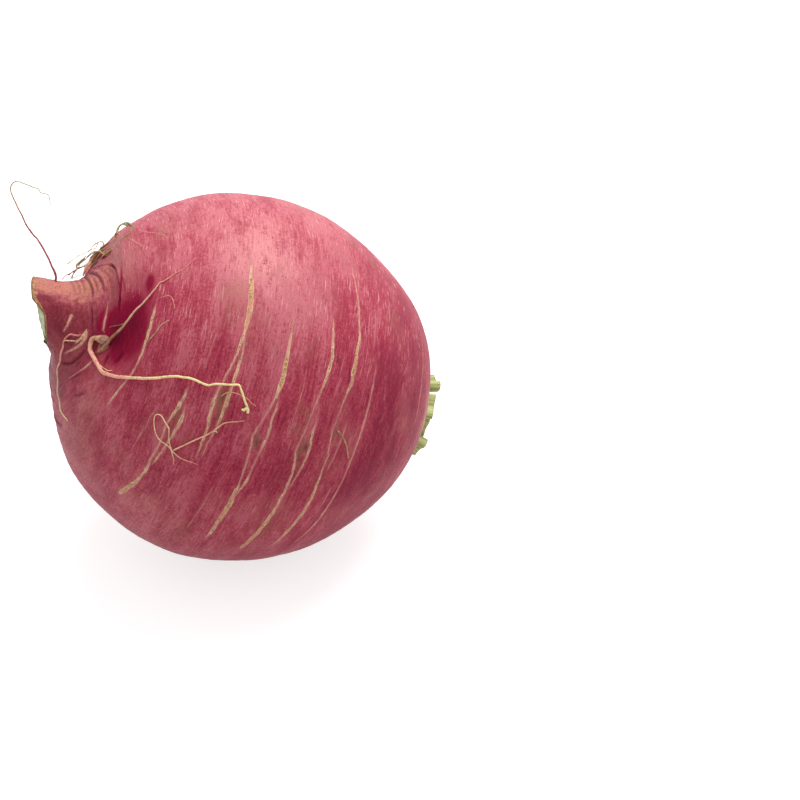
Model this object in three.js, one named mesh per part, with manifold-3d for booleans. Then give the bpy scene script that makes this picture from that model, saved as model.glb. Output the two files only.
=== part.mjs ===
// A big round red radish, trimmed for sale: the globe, the tail root cut off short,
// the crown with its leaf stalks cut back, and the larger side roots still on it.
// It grew as one piece, so it is one closed solid. Millimetres, +Z up. The origin is
// the middle of the small flat spot that it rests on.

import * as THREE from 'three';
import { mergeVertices } from 'three/addons/utils/BufferGeometryUtils.js';
import Module from 'manifold-3d';

// ---- driving dimensions, in mm and degrees ----

// the globe, round from the shoulder down to a slightly longer, dimpled crown
const globeRadius = 48.75;
const globeCentre = 0.5; // along the root's axis, past the root's middle
const crownReach = 52.2; // from the globe's centre to the crown
const crownFullness = 1.91; // 2 is an ellipse, less is more pointed
const crownRise = 3.6; // how far the middle of the crown is above the axis
const dimpleDepth = 1.7;
const dimpleRadius = 9;
const globeStep = 14; // between the globe's rings, seen from its centre
const shoulderTurn = 126; // where the globe gives way to the neck, counted from the crown

// the neck and the tail's stub, ring by ring: the place along the axis, the radius, how
// far the ring's centre is off the axis, upwards and to the front, and the ring's lean
const neckRings = [
  { along: 35.7, radius: 33.8, rise: 0.4, front: 0.1, lean: 0.5 },
  { along: 40.6, radius: 27.6, rise: 1.8, front: 0.2, lean: 1 },
  { along: 42.6, radius: 23.2, rise: 3.0, front: 0.5, lean: 3 },
  { along: 43.6, radius: 19.7, rise: 3.0, front: 1.1, lean: 5 },
  { along: 45.1, radius: 16.6, rise: 2.6, front: 1.5, lean: 4 },
  { along: 46.9, radius: 13.5, rise: 2.5, front: 1.4, lean: 2 },
  { along: 48.9, radius: 11.0, rise: 3.2, front: 1.1, lean: -5 },
  { along: 50.7, radius: 9.7, rise: 4.0, front: 0.8, lean: -13 },
  { along: 52.6, radius: 9.1, rise: 4.7, front: 0.5, lean: -21 },
  { along: 54.8, radius: 8.6, rise: 5.1, front: 0.2, lean: -30 },
];

// a shallow hollow in the shoulder beside the neck
const hollow = { along: 39.5, azimuth: 38, depth: 3.6, length: 4.2, spread: 34 };

// how the root lies: its tail points up and a little to the front
const tailRise = 23.4;
const tailTurn = 7.5;
const middleHeight = 47.2; // the root's middle over the flat spot

// stumps of the leaf stalks, in the spiral that leaves grow in
const stumpCount = 9;
const stumpSpread = 9.5;
const stumpTurn = 137.5;
const stumpLean = 16; // of the outermost one
const stumpHeight = 3.6; // over the middle of the dimple
const stumpLength = 9; // with the part inside the root

// the larger side roots, each with its radius and its route over the skin:
// the place along the axis, the azimuth round it, and the height over the skin
const sideRoots = [
  { // the thick one that curls out of the neck and runs on round the globe
    radius: 0.5,
    route: [
      [43.4, 32, -1.5], [44.4, 33, 1.4], [45.1, 29, 1.6], [44.4, 21, 1.5], [42.8, 16, 1.3],
      [40.8, 16, 1.2], [37.7, 19, 1.2], [32.6, 24, 1.2], [27.6, 28, 1.2], [23.0, 30, 1.2],
      [19.7, 30, 1.2], [16.5, 31, 1.1], [12.9, 32, 1.1], [10.3, 31, 1.1], [7.6, 26, -0.7],
    ],
  },
  { // the straight one that crosses the hollow
    radius: 0.35,
    route: [
      [43.6, 24, -1.5], [42.6, 34, 1.6], [39.8, 47, 2.5], [36.1, 54, 1.7], [33.0, 61, 0.9],
      [29.2, 66, 0.8], [25.6, 72, -0.7],
    ],
  },
  { // the thin one that hangs from the stub past the neck's underside
    radius: 0.35,
    route: [
      [45.6, 34, -1.2], [47.2, 30, 1.3], [48.4, 18, 1.4], [48.4, 1, 1.5], [47.8, 339, 1.4],
      [45.2, 328, 1.2], [42.8, 327, 1.0], [41.8, 334, -0.7],
    ],
  },
];

// the long hair on top of the stub, from its base: to the front, up and along the axis
const hair = {
  radius: 0.35,
  along: 51.0,
  azimuth: 108,
  route: [
    [0.2, -1.5, -0.2], [-1.5, 3.1, 1.8], [-3.0, 6.6, 4.9], [-4.3, 8.8, 8.4], [-5.9, 12.3, 12.3],
    [-7.8, 16.7, 16.4], [-8.2, 18.1, 17.0], [-8.4, 20.1, 15.9], [-7.7, 20.2, 12.9],
    [-6.9, 19.7, 9.7], [-6.5, 19.6, 7.9], [-5.8, 17.9, 6.8],
  ],
};

// fineness of the faces
const columns = 48;
const rowsPerRing = 3;
const tubeSides = 6;
const stumpSides = 12;
const tubeStepsPerPoint = 2;

// ---- the shape of the skin, in the root's own frame ----
// x to the front, y up and z along the axis to the tail

const radians = THREE.MathUtils.degToRad;

function globeRings() {
  const rings = [];
  for (let turn = 0; turn <= shoulderTurn; turn += globeStep) {
    const across = Math.sin(radians(turn));
    const forward = -Math.cos(radians(turn));
    const power = turn < 90 ? 2 / crownFullness : 1;
    const reach = turn < 90 ? -crownReach : globeRadius;
    const radius = globeRadius * across ** power;
    const dimple = dimpleDepth * Math.exp(-((radius / dimpleRadius) ** 2));
    const along = globeCentre + reach * Math.abs(forward) ** power + dimple;
    const rise = crownRise * Math.min(forward, 0) ** 2;
    rings.push({ along, radius, rise, front: 0, lean: 0 });
  }
  return rings;
}

const rings = [...globeRings(), ...neckRings];
const profile = new THREE.SplineCurve(rings.map((r) => new THREE.Vector2(r.along, r.radius)));
const centres = new THREE.SplineCurve(rings.map((r) => new THREE.Vector2(r.front, r.rise)));
const leans = new THREE.SplineCurve(rings.map((r) => new THREE.Vector2(r.lean, 0)));

// presses the hollow into a point of the skin
function pressHollow(point) {
  const azimuth = THREE.MathUtils.radToDeg(Math.atan2(point.y, point.x));
  const offAlong = (point.z - hollow.along) / hollow.length;
  const offRound = (azimuth - hollow.azimuth) / hollow.spread;
  const depth = hollow.depth * Math.exp(-(offAlong ** 2) - offRound ** 2);
  return point.setLength(point.length() - depth);
}

// a point of the skin: run goes from 0 at the crown to 1 at the cut, azimuth goes round
// from the front over the top, and lift is the height over the skin
function skinPoint(run, azimuth, lift = 0) {
  const ring = profile.getPoint(run);
  const centre = centres.getPoint(run);
  const lean = radians(leans.getPoint(run).x);
  const radius = Math.max(ring.y, 0) + lift;
  const sideways = radius * Math.cos(radians(azimuth));
  const upwards = radius * Math.sin(radians(azimuth));
  return pressHollow(new THREE.Vector3(
    centre.x + sideways,
    centre.y + upwards * Math.cos(lean),
    ring.x - upwards * Math.sin(lean),
  ));
}

// the run at which the rings reach a place along the axis
function runAt(along) {
  let low = 0.1;
  let high = 1;
  while (high - low > 1e-6) {
    const middle = (low + high) / 2;
    if (profile.getPoint(middle).x < along) low = middle;
    else high = middle;
  }
  return low;
}

// how the root's own frame stands in the part's frame
function lyingRoot() {
  const rise = radians(tailRise);
  const turn = radians(tailTurn);
  const level = Math.cos(rise);
  const tail = new THREE.Vector3(-Math.cos(turn) * level, -Math.sin(turn) * level, Math.sin(rise));
  const front = new THREE.Vector3(0, 0, 1).cross(tail).normalize();
  const top = tail.clone().cross(front);
  return new THREE.Matrix4().makeBasis(front, top, tail).setPosition(0, 0, middleHeight);
}

// ---- the pieces that are joined into the one solid ----

function skin() {
  const rows = (rings.length - 1) * rowsPerRing;
  const positions = [];
  for (let row = 1; row <= rows; row += 1) {
    for (let column = 0; column < columns; column += 1) {
      positions.push(...skinPoint(row / rows, 360 * column / columns));
    }
  }
  const crown = positions.push(...skinPoint(0, 0)) / 3 - 1;
  const cutCentre = centres.getPoint(1);
  const cut = positions.push(cutCentre.x, cutCentre.y, profile.getPoint(1).x) / 3 - 1;
  const faces = [];
  for (let column = 0; column < columns; column += 1) {
    const next = (column + 1) % columns;
    faces.push(crown, next, column);
    for (let row = 0; row < rows - 1; row += 1) {
      const near = row * columns;
      const far = near + columns;
      faces.push(near + column, near + next, far + next);
      faces.push(near + column, far + next, far + column);
    }
    faces.push(cut, (rows - 1) * columns + column, (rows - 1) * columns + next);
  }
  const geometry = new THREE.BufferGeometry();
  geometry.setAttribute('position', new THREE.Float32BufferAttribute(positions, 3));
  geometry.setIndex(faces);
  return geometry;
}

function tube(points, radius) {
  const section = new THREE.Shape();
  for (let side = 0; side < tubeSides; side += 1) {
    const turn = 2 * Math.PI * side / tubeSides;
    const [x, y] = [radius * Math.cos(turn), radius * Math.sin(turn)];
    if (side === 0) section.moveTo(x, y);
    else section.lineTo(x, y);
  }
  const path = new THREE.CatmullRomCurve3(points);
  const steps = (points.length - 1) * tubeStepsPerPoint;
  return new THREE.ExtrudeGeometry(section, { steps, extrudePath: path, bevelEnabled: false });
}

function sideRoot({ radius, route }) {
  const points = route.map(([along, azimuth, lift]) => skinPoint(runAt(along), azimuth, lift));
  return tube(points, radius);
}

function longHair() {
  const base = skinPoint(runAt(hair.along), hair.azimuth);
  const points = hair.route.map((offset) => new THREE.Vector3(...offset).add(base));
  return tube(points, hair.radius);
}

// a short flat-sided stump that leans outwards, larger the further out it stands
function stump(index) {
  const outness = Math.sqrt((index + 0.5) / stumpCount);
  const azimuth = index * stumpTurn;
  const wide = 1.8 + 2.4 * outness;
  const thick = 1.4 + 1.0 * outness;
  const geometry = new THREE.CylinderGeometry(1, 0.8, stumpLength, stumpSides);
  geometry.scale(wide, 1, thick);
  geometry.translate(0, stumpLength / 2 - stumpHeight, 0);
  geometry.rotateX(Math.PI / 2 + radians(stumpLean * outness));
  geometry.translate(0, stumpSpread * outness, globeCentre - crownReach + dimpleDepth);
  geometry.rotateZ(radians(azimuth));
  geometry.translate(0, crownRise, 0);
  return geometry;
}

// a block under the floor, which cuts the flat spot
function underFloor() {
  const size = 4 * globeRadius;
  return new THREE.BoxGeometry(size, size, size).translate(0, 0, -size / 2);
}

const wasm = await Module();
wasm.setup();

function solid(geometry) {
  const bare = geometry.clone();
  bare.deleteAttribute('normal');
  bare.deleteAttribute('uv');
  const merged = mergeVertices(bare, 1e-4);
  return new wasm.Manifold(new wasm.Mesh({
    numProp: 3,
    vertProperties: new Float32Array(merged.attributes.position.array),
    triVerts: new Uint32Array(merged.index.array),
  }));
}

function geometryOf(body) {
  const mesh = body.getMesh();
  const geometry = new THREE.BufferGeometry();
  geometry.setAttribute('position', new THREE.BufferAttribute(mesh.vertProperties, 3));
  geometry.setIndex(new THREE.BufferAttribute(mesh.triVerts, 1));
  geometry.computeVertexNormals();
  return geometry;
}

function radish() {
  const pieces = [skin(), longHair(), ...sideRoots.map(sideRoot)];
  for (let index = 0; index < stumpCount; index += 1) pieces.push(stump(index));
  const lying = lyingRoot();
  const solids = pieces.map((piece) => solid(piece.applyMatrix4(lying)));
  const grown = solids.reduce((all, piece) => all.add(piece));
  return geometryOf(grown.subtract(solid(underFloor())));
}

const skinMaterial = new THREE.MeshStandardMaterial({ color: 0xb0506a, roughness: 0.55, metalness: 0 });
const mesh = new THREE.Mesh(radish(), skinMaterial);
mesh.name = 'radish';

const group = new THREE.Group();
group.add(mesh);

export default group;
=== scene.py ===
import math
import random

import bpy
import numpy as np
from mathutils import Matrix, Vector, noise


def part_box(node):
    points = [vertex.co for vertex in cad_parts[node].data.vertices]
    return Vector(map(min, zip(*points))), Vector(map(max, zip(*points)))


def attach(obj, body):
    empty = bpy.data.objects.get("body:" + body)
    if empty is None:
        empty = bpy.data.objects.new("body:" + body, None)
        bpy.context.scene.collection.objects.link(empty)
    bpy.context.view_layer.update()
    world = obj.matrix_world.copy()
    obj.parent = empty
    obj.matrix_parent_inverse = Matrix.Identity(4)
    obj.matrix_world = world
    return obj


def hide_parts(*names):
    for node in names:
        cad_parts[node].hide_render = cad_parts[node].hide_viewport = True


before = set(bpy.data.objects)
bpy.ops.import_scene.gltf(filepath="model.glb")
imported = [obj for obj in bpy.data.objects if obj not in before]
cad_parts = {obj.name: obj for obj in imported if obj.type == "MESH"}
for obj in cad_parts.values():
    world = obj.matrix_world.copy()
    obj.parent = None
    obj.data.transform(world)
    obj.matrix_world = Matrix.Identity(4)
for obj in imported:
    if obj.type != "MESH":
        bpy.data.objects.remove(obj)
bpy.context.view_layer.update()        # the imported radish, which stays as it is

boxLow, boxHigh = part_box("radish")
drawnWidth = 97.32                               # of the radish from side to side, in mm
mm = (boxHigh.y - boxLow.y) / drawnWidth         # one millimetre in the frame's own size
print("frame loaded, 1 mm is", round(mm, 7))

rootLies = dict(
    tailRise=23.4,          # the tail points up by this, in degrees
    tailTurn=7.5,           # and to the front by this
    middleHeight=47.2,      # of the root's middle over the floor, mm
)


def rootMatrix():
    # the root's own frame: x to the front, y up and z along the axis to the tail
    rise = math.radians(rootLies["tailRise"])
    turn = math.radians(rootLies["tailTurn"])
    tail = Vector((-math.cos(turn) * math.cos(rise), -math.sin(turn) * math.cos(rise), math.sin(rise)))
    front = Vector((0, 0, 1)).cross(tail).normalized()
    top = tail.cross(front)
    lying = Matrix((front, top, tail)).transposed().to_4x4()
    lying.translation = (0, 0, rootLies["middleHeight"])
    return lying


lying = np.array(rootMatrix())


def toFrame(points):
    # from the root's own frame in mm to the part's frame in metres
    return (points @ lying[:3, :3].T + lying[:3, 3]) * mm


view = dict(
    lens=80.0,
    tilt=37.0,              # looks down by this, in degrees
    away=472.0,             # from the root's middle, mm
    aside=43.5,             # to the right of it
    below=5.7,              # and a little below it, in the camera's own directions
)


def addCamera():
    data = bpy.data.cameras.new("camera")
    data.lens = view["lens"]
    data.sensor_width = 36.0
    data.clip_start = 0.01
    data.clip_end = 20.0
    camera = bpy.data.objects.new("camera", data)
    tilt = math.radians(view["tilt"])
    forward = Vector((0, math.cos(tilt), -math.sin(tilt)))
    upward = Vector((0, math.sin(tilt), math.cos(tilt)))
    middle = Vector((0, 0, rootLies["middleHeight"]))
    place = middle - forward * view["away"] + Vector((view["aside"], 0, 0)) - upward * view["below"]
    camera.location = place * mm
    camera.rotation_euler = (math.radians(90) - tilt, 0, 0)
    bpy.context.scene.collection.objects.link(camera)
    bpy.context.scene.camera = camera


addCamera()
print("camera placed")

rootShape = dict(
    globeRadius=48.75,      # mm, as the rest
    globeCentre=0.5,        # along the axis
    crownReach=52.2,        # from there to the crown
    crownFullness=1.91,     # 2 is round, less is more pointed
    crownRise=3.6,
    dimpleDepth=1.7,
    dimpleRadius=9.0,
    globeStep=14,           # degrees between the globe's rings
    shoulderTurn=126,       # where the last of them lies
    # the neck's rings: along the axis, radius, rise, front, then lean in degrees
    neckRings=[
        (35.7, 33.8, 0.4, 0.1, 0.5),
        (40.6, 27.6, 1.8, 0.2, 1),
        (42.6, 23.2, 3.0, 0.5, 3),
        (43.6, 19.7, 3.0, 1.1, 5),
        (45.1, 16.6, 2.6, 1.5, 4),
        (46.9, 13.5, 2.5, 1.4, 2),
        (48.9, 11.0, 3.2, 1.1, -5),
        (50.7, 9.7, 4.0, 0.8, -13),
        (52.6, 9.1, 4.7, 0.5, -21),
        (54.8, 8.6, 5.1, 0.2, -30),
    ],
    # the hollow pressed into the shoulder beside the neck
    hollow=dict(along=39.5, azimuth=38, depth=3.6, length=4.2, spread=34),
)


def globeRings():
    rings = []
    for turn in range(0, rootShape["shoulderTurn"] + 1, rootShape["globeStep"]):
        across = math.sin(math.radians(turn))
        forward = -math.cos(math.radians(turn))
        power = 2 / rootShape["crownFullness"] if turn < 90 else 1
        reach = -rootShape["crownReach"] if turn < 90 else rootShape["globeRadius"]
        radius = rootShape["globeRadius"] * across ** power
        dimple = rootShape["dimpleDepth"] * math.exp(-(radius / rootShape["dimpleRadius"]) ** 2)
        along = rootShape["globeCentre"] + reach * abs(forward) ** power + dimple
        rings.append((along, radius, rootShape["crownRise"] * min(forward, 0) ** 2, 0, 0))
    return rings


ringTable = np.array(globeRings() + rootShape["neckRings"], float)


def ringAt(run):
    # the ring at a run from 0 at the crown to 1 at the cut, on a smooth curve through the rings
    last = len(ringTable) - 1
    place = np.clip(np.asarray(run, float), 0, 1) * last
    start = np.minimum(place.astype(int), last - 1)
    weight = (place - start)[..., None]
    before = ringTable[np.maximum(start - 1, 0)]
    here = ringTable[start]
    there = ringTable[start + 1]
    after = ringTable[np.minimum(start + 2, last)]
    leave = (there - before) / 2
    arrive = (after - here) / 2
    cubed = (2 * here - 2 * there + leave + arrive) * weight ** 3
    squared = (-3 * here + 3 * there - 2 * leave - arrive) * weight ** 2
    return cubed + squared + leave * weight + here


def pressHollow(points):
    hollow = rootShape["hollow"]
    azimuth = np.degrees(np.arctan2(points[..., 1], points[..., 0]))
    offAlong = (points[..., 2] - hollow["along"]) / hollow["length"]
    offRound = (azimuth - hollow["azimuth"]) / hollow["spread"]
    depth = hollow["depth"] * np.exp(-offAlong ** 2 - offRound ** 2)
    length = np.maximum(np.linalg.norm(points, axis=-1), 1e-6)
    return points * (1 - depth / length)[..., None]


def skinPoint(run, azimuth, lift=0.0):
    # a point of the skin in the root's own frame, lift over it in mm
    ring = ringAt(run)
    turn = np.radians(azimuth)
    lean = np.radians(ring[..., 4])
    radius = np.maximum(ring[..., 1], 0) + lift
    sideways = radius * np.cos(turn)
    upwards = radius * np.sin(turn)
    return pressHollow(np.stack([
        ring[..., 3] + sideways,
        ring[..., 2] + upwards * np.cos(lean),
        ring[..., 0] - upwards * np.sin(lean),
    ], -1))


# the run and the length of skin, crown to here, against the place along the axis
tableSteps = 4000
runTable = np.linspace(0, 1, tableSteps + 1)
alongTable = ringAt(runTable)[:, 0]
radiusTable = ringAt(runTable)[:, 1]
arcTable = np.concatenate([[0], np.cumsum(np.hypot(np.diff(alongTable), np.diff(radiusTable)))])
firstRising = int(np.argmin(alongTable))


def runAt(along):
    return np.interp(along, np.maximum.accumulate(alongTable[firstRising:]), runTable[firstRising:])


def arcAt(along):
    return np.interp(runAt(along), runTable, arcTable)


def smooth(low, high, value):
    step = np.clip((value - low) / (high - low), 0, 1)
    return step * step * (3 - 2 * step)


def roughness3(points, seed):
    # soft random heights, about -1 to 1, at points given in the grain's own size
    shift = Vector((seed * 17.3, seed * 5.1, seed * 9.7))
    flat = points.reshape(-1, 3)
    heights = np.fromiter((noise.noise(Vector(p) + shift) for p in flat), float, len(flat))
    return heights.reshape(points.shape[:-1])


def meshObject(name, points, faces, material, attributes=None, smoothFaces=True):
    # points in the part's frame; attributes are one number or one vector a point
    mesh = bpy.data.meshes.new(name)
    mesh.from_pydata(points.tolist(), [], faces)
    for key, values in (attributes or {}).items():
        values = np.asarray(values, np.float32)
        if values.ndim == 1:
            mesh.attributes.new(key, "FLOAT", "POINT").data.foreach_set("value", values)
        else:
            mesh.attributes.new(key, "FLOAT_VECTOR", "POINT").data.foreach_set("vector", values.ravel())
    mesh.materials.append(material)
    mesh.polygons.foreach_set("use_smooth", [smoothFaces] * len(mesh.polygons))
    mesh.update()
    piece = bpy.data.objects.new(name, mesh)
    bpy.context.scene.collection.objects.link(piece)
    return piece


class Nodes:
    # a short way to write a material's nodes
    def __init__(self, name):
        self.material = bpy.data.materials.new(name)
        self.material.use_nodes = True
        self.tree = self.material.node_tree
        self.shader = self.tree.nodes["Principled BSDF"]

    def add(self, kind, **settings):
        node = self.tree.nodes.new("ShaderNode" + kind)
        for key, value in settings.items():
            setattr(node, key, value)
        return node

    def plug(self, value, socket):
        if isinstance(value, bpy.types.NodeSocket):
            self.tree.links.new(value, socket)
        elif socket.type == "RGBA" and len(value) == 3:
            socket.default_value = (*value, 1)
        else:
            socket.default_value = value

    def number(self, name):
        return self.add("Attribute", attribute_name=name).outputs["Fac"]

    def vector(self, name):
        return self.add("Attribute", attribute_name=name).outputs["Vector"]

    def places(self):
        return self.add("TexCoord").outputs["Object"]

    def stretched(self, vector, scale, shift=0.0):
        node = self.add("Mapping")
        self.plug(vector, node.inputs["Vector"])
        node.inputs["Location"].default_value = (shift, shift, shift)
        node.inputs["Scale"].default_value = scale
        return node.outputs[0]

    def noise(self, vector, size, detail, rough=0.5):
        node = self.add("TexNoise")
        self.plug(vector, node.inputs["Vector"])
        node.inputs["Scale"].default_value = 1 / size
        node.inputs["Detail"].default_value = detail
        node.inputs["Roughness"].default_value = rough
        return node.outputs["Fac"]

    def dots(self, vector, size):
        # how far the nearest of many scattered points is, in steps of the size
        node = self.add("TexVoronoi")
        self.plug(vector, node.inputs["Vector"])
        node.inputs["Scale"].default_value = 1 / size
        return node.outputs["Distance"]

    def maths(self, operation, first, second=0.0):
        node = self.add("Math", operation=operation)
        self.plug(first, node.inputs[0])
        self.plug(second, node.inputs[1])
        return node.outputs[0]

    def times(self, *values):
        product = values[0]
        for value in values[1:]:
            product = self.maths("MULTIPLY", product, value)
        return product

    def plus(self, first, second):
        return self.maths("ADD", first, second)

    def swing(self, value, *strengths):
        # a noise moved to lie about zero, times its strength
        return self.times(self.maths("SUBTRACT", value, 0.5), *strengths)

    def fit(self, value, low, high, toLow=0.0, toHigh=1.0):
        node = self.add("MapRange", interpolation_type="SMOOTHSTEP")
        self.plug(value, node.inputs["Value"])
        self.plug(low, node.inputs["From Min"])
        self.plug(high, node.inputs["From Max"])
        self.plug(toLow, node.inputs["To Min"])
        self.plug(toHigh, node.inputs["To Max"])
        return node.outputs[0]

    def blend(self, share, first, second):
        node = self.add("Mix", data_type="RGBA")
        self.plug(share, node.inputs["Factor"])
        self.plug(first, node.inputs[6])
        self.plug(second, node.inputs[7])
        return node.outputs[2]

    def bump(self, height, depth, under=None):
        node = self.add("Bump")
        node.inputs["Distance"].default_value = depth * mm
        self.plug(height, node.inputs["Height"])
        if under is not None:
            self.plug(under, node.inputs["Normal"])
        return node.outputs[0]

    def finish(self, colour, rough, normal, specular):
        self.plug(colour, self.shader.inputs["Base Color"])
        self.plug(rough, self.shader.inputs["Roughness"])
        self.plug(normal, self.shader.inputs["Normal"])
        self.shader.inputs["Specular IOR Level"].default_value = specular
        return self.material


def paint(red, green, blue):
    # a colour as it looks on a screen, 0 to 255, in the numbers a shader takes
    def plain(level):
        level /= 255
        return level / 12.92 if level <= 0.04045 else ((level + 0.055) / 1.055) ** 2.4
    return (plain(red), plain(green), plain(blue))


scars = dict(
    # corky lines round the root, in strands: azimuth, along, width in mm
    # they lie in three layers, so that strands side by side keep their own lines
    first=[
        [(55, 32.9, 0.3), (50, 32.9, 0.8), (43, 33.1, 0.95), (34, 33.5, 0.9), (27, 34.2, 0.6),
         (20, 35.4, 0.6), (13, 36.5, 0.8), (7, 37.2, 0.6), (2, 37.6, 0.3)],
        [(29, 21.8, 0.3), (26, 21.9, 0.6), (22, 22.4, 0.9), (17, 23.2, 0.8), (14, 23.9, 0.6),
         (7, 23.8, 0.7), (0, 24.3, 0.5), (-7, 24.3, 0.8), (-16, 25.5, 1.1), (-22, 26.4, 1.5),
         (-27, 26.9, 0.7)],
        [(79, 13.8, 0.25), (73, 13.6, 0.35), (67, 13.2, 0.75), (62, 12.8, 1.3), (56, 12.4, 1.5),
         (52, 12.4, 1.35), (48, 12.5, 0.9), (44, 12.9, 0.7), (40, 13.3, 0.6), (36, 13.9, 0.6),
         (32, 14.7, 0.6), (28, 15.3, 0.7), (25, 15.7, 0.8), (21, 15.4, 0.8), (17, 15.1, 0.7),
         (13, 15.2, 0.7), (9, 15.1, 0.6), (5, 15.5, 0.3)],
        [(57, 1.9, 0.3), (53, 1.7, 0.5), (48, 1.5, 0.7), (43, 1.3, 1.0), (39, 1.4, 1.3), (35, 1.3, 1.2),
         (32, 1.7, 0.7), (28, 2.4, 0.5), (24, 3.4, 0.5), (19, 4.5, 0.6), (15, 3.9, 0.6), (11, 3.7, 0.5),
         (3, 3.2, 0.6), (0, 3.2, 1.1), (-6, 3.4, 1.3), (-12, 3.7, 1.1), (-18, 3.8, 0.8),
         (-26, 3.9, 0.35)],
        [(60, -8.6, 0.25), (57, -8.8, 0.6), (52, -9.3, 0.7), (47, -10.0, 0.9), (43, -9.8, 0.9),
         (39, -9.6, 0.7), (35, -8.9, 0.5), (30, -8.3, 0.4), (25, -7.8, 0.4), (18, -7.0, 0.5),
         (15, -7.6, 0.6), (11, -8.3, 0.6), (5, -8.5, 0.7), (-4, -8.1, 0.8), (-12, -7.4, 1.2),
         (-20, -6.6, 1.2), (-28, -6.0, 0.6)],
        [(84, -13.2, 0.25), (79, -13.6, 0.5), (73, -14.4, 0.5), (66, -15.5, 0.6), (60, -16.0, 0.7),
         (55, -16.6, 0.9), (50, -16.4, 1.1), (45, -16.7, 1.3), (41, -16.8, 1.0), (37, -16.2, 0.5),
         (30, -15.2, 0.4), (26, -14.8, 0.5), (22, -15.0, 0.5), (18, -15.8, 0.5), (12, -15.9, 0.6),
         (2, -16.3, 0.9), (-5, -15.8, 1.0), (-13, -14.8, 0.9), (-20, -13.8, 0.6), (-25, -12.7, 0.3)],
        [(51, -22.6, 0.25), (46, -23.0, 0.45), (39, -23.2, 0.5), (30, -23.5, 0.55), (21, -23.2, 0.6),
         (8, -22.8, 0.5), (-4, -22.2, 0.6), (-12, -21.4, 0.7), (-18, -20.1, 0.5), (-25, -18.7, 0.25)],
        [(81, -38.2, 0.25), (76, -38.7, 0.5), (65, -39.7, 0.4), (52, -40.5, 0.45), (40, -41.0, 0.5),
         (28, -41.2, 0.25)],
        [(51, 48.1, 0.3), (48, 48.1, 0.75), (43, 48.2, 0.65), (34, 48.4, 0.5), (22, 48.9, 0.3)],
        [(60, 43.9, 0.3), (51, 43.9, 0.55), (44, 43.9, 0.6), (38, 43.8, 0.5), (34, 43.3, 0.3)],
    ],
    second=[
        [(23, 21.2, 0.3), (19, 21.2, 0.7), (15, 21.3, 1.0), (10, 21.9, 0.7), (5, 22.6, 0.6),
         (0, 23.2, 0.7), (-5, 23.9, 0.3)],
        [(49, 12.3, 0.3), (44, 12.2, 0.5), (38, 12.1, 0.7), (32, 12.5, 0.8), (27, 12.6, 1.0),
         (23, 12.8, 0.9), (19, 13.0, 0.6), (12, 13.9, 0.5), (6, 13.9, 0.25)],
        [(33, 1.0, 0.25), (29, 1.0, 0.6), (24, 1.2, 0.7), (19, 1.0, 0.8), (15, 1.5, 0.5),
         (10, 1.9, 0.45), (5, 1.8, 0.7), (1, 2.6, 0.6), (-3, 3.1, 0.3)],
        [(30, -10.1, 0.3), (25, -9.7, 0.6), (20, -10.3, 0.7), (15, -10.3, 0.6), (8, -9.5, 0.4),
         (3, -9.2, 0.25)],
        [(31, -18.2, 0.25), (23, -18.1, 0.5), (17, -17.5, 0.45), (10, -17.0, 0.25)],
        [(39, 45.6, 0.4), (34, 45.6, 1.0), (29, 45.8, 1.3), (24, 46.3, 0.8), (19, 46.6, 0.3)],
        [(103, 40.4, 0.25), (94, 39.1, 0.45), (89, 38.0, 0.45), (82, 36.8, 0.25)],
    ],
    third=[
        [(36, 45.5, 0.4), (30, 45.3, 0.7), (22, 45.7, 0.75), (16, 46.3, 0.65), (9, 47.0, 0.5),
         (1, 47.7, 0.3)],
        [(16, 43.3, 0.3), (10, 43.5, 0.9), (5, 43.8, 0.6), (0, 44.2, 0.45), (-15, 45.2, 0.3)],
        [(74, 6.9, 0.2), (68, 6.8, 0.3), (63, 6.7, 0.2)],
        [(104, 38.5, 0.2), (96, 36.4, 0.45), (88, 32.8, 0.3), (84, 31.6, 0.2)],
        [(46, 19.0, 0.2), (38, 19.3, 0.3), (31, 19.6, 0.2)],
        [(20, 26.5, 0.2), (13, 27.6, 0.35), (5, 28.4, 0.3), (-3, 28.9, 0.2)],
        [(43, -4.0, 0.2), (36, -4.3, 0.3), (27, -4.1, 0.25), (20, -3.7, 0.2)],
        [(70, -20.4, 0.2), (62, -21.0, 0.3), (52, -21.3, 0.2)],
        [(8, -20.5, 0.2), (0, -20.2, 0.3), (-9, -19.3, 0.2)],
        [(2, 8.8, 0.2), (-6, 9.0, 0.3), (-15, 9.4, 0.25), (-22, 9.6, 0.2)],
    ],
    backTurn=181,           # the same rows come again on the far side of the root
    backLimit=40,           # those that start before this place along the axis
    backTurnDraw=9,         # each one there is turned by up to this, in degrees
    backAlongDraw=1.2,      # and moved by up to this, in mm
    backStretch=(0.8, 1.25),
    reach=2.6,              # how far from a scar its distance is followed, mm
    tip=4,                  # degrees over which an end thins out
    gap=0.9,                # mm between two strands over which both run out
    rise=0.13,              # how far a scar stands up, mm
)

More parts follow.
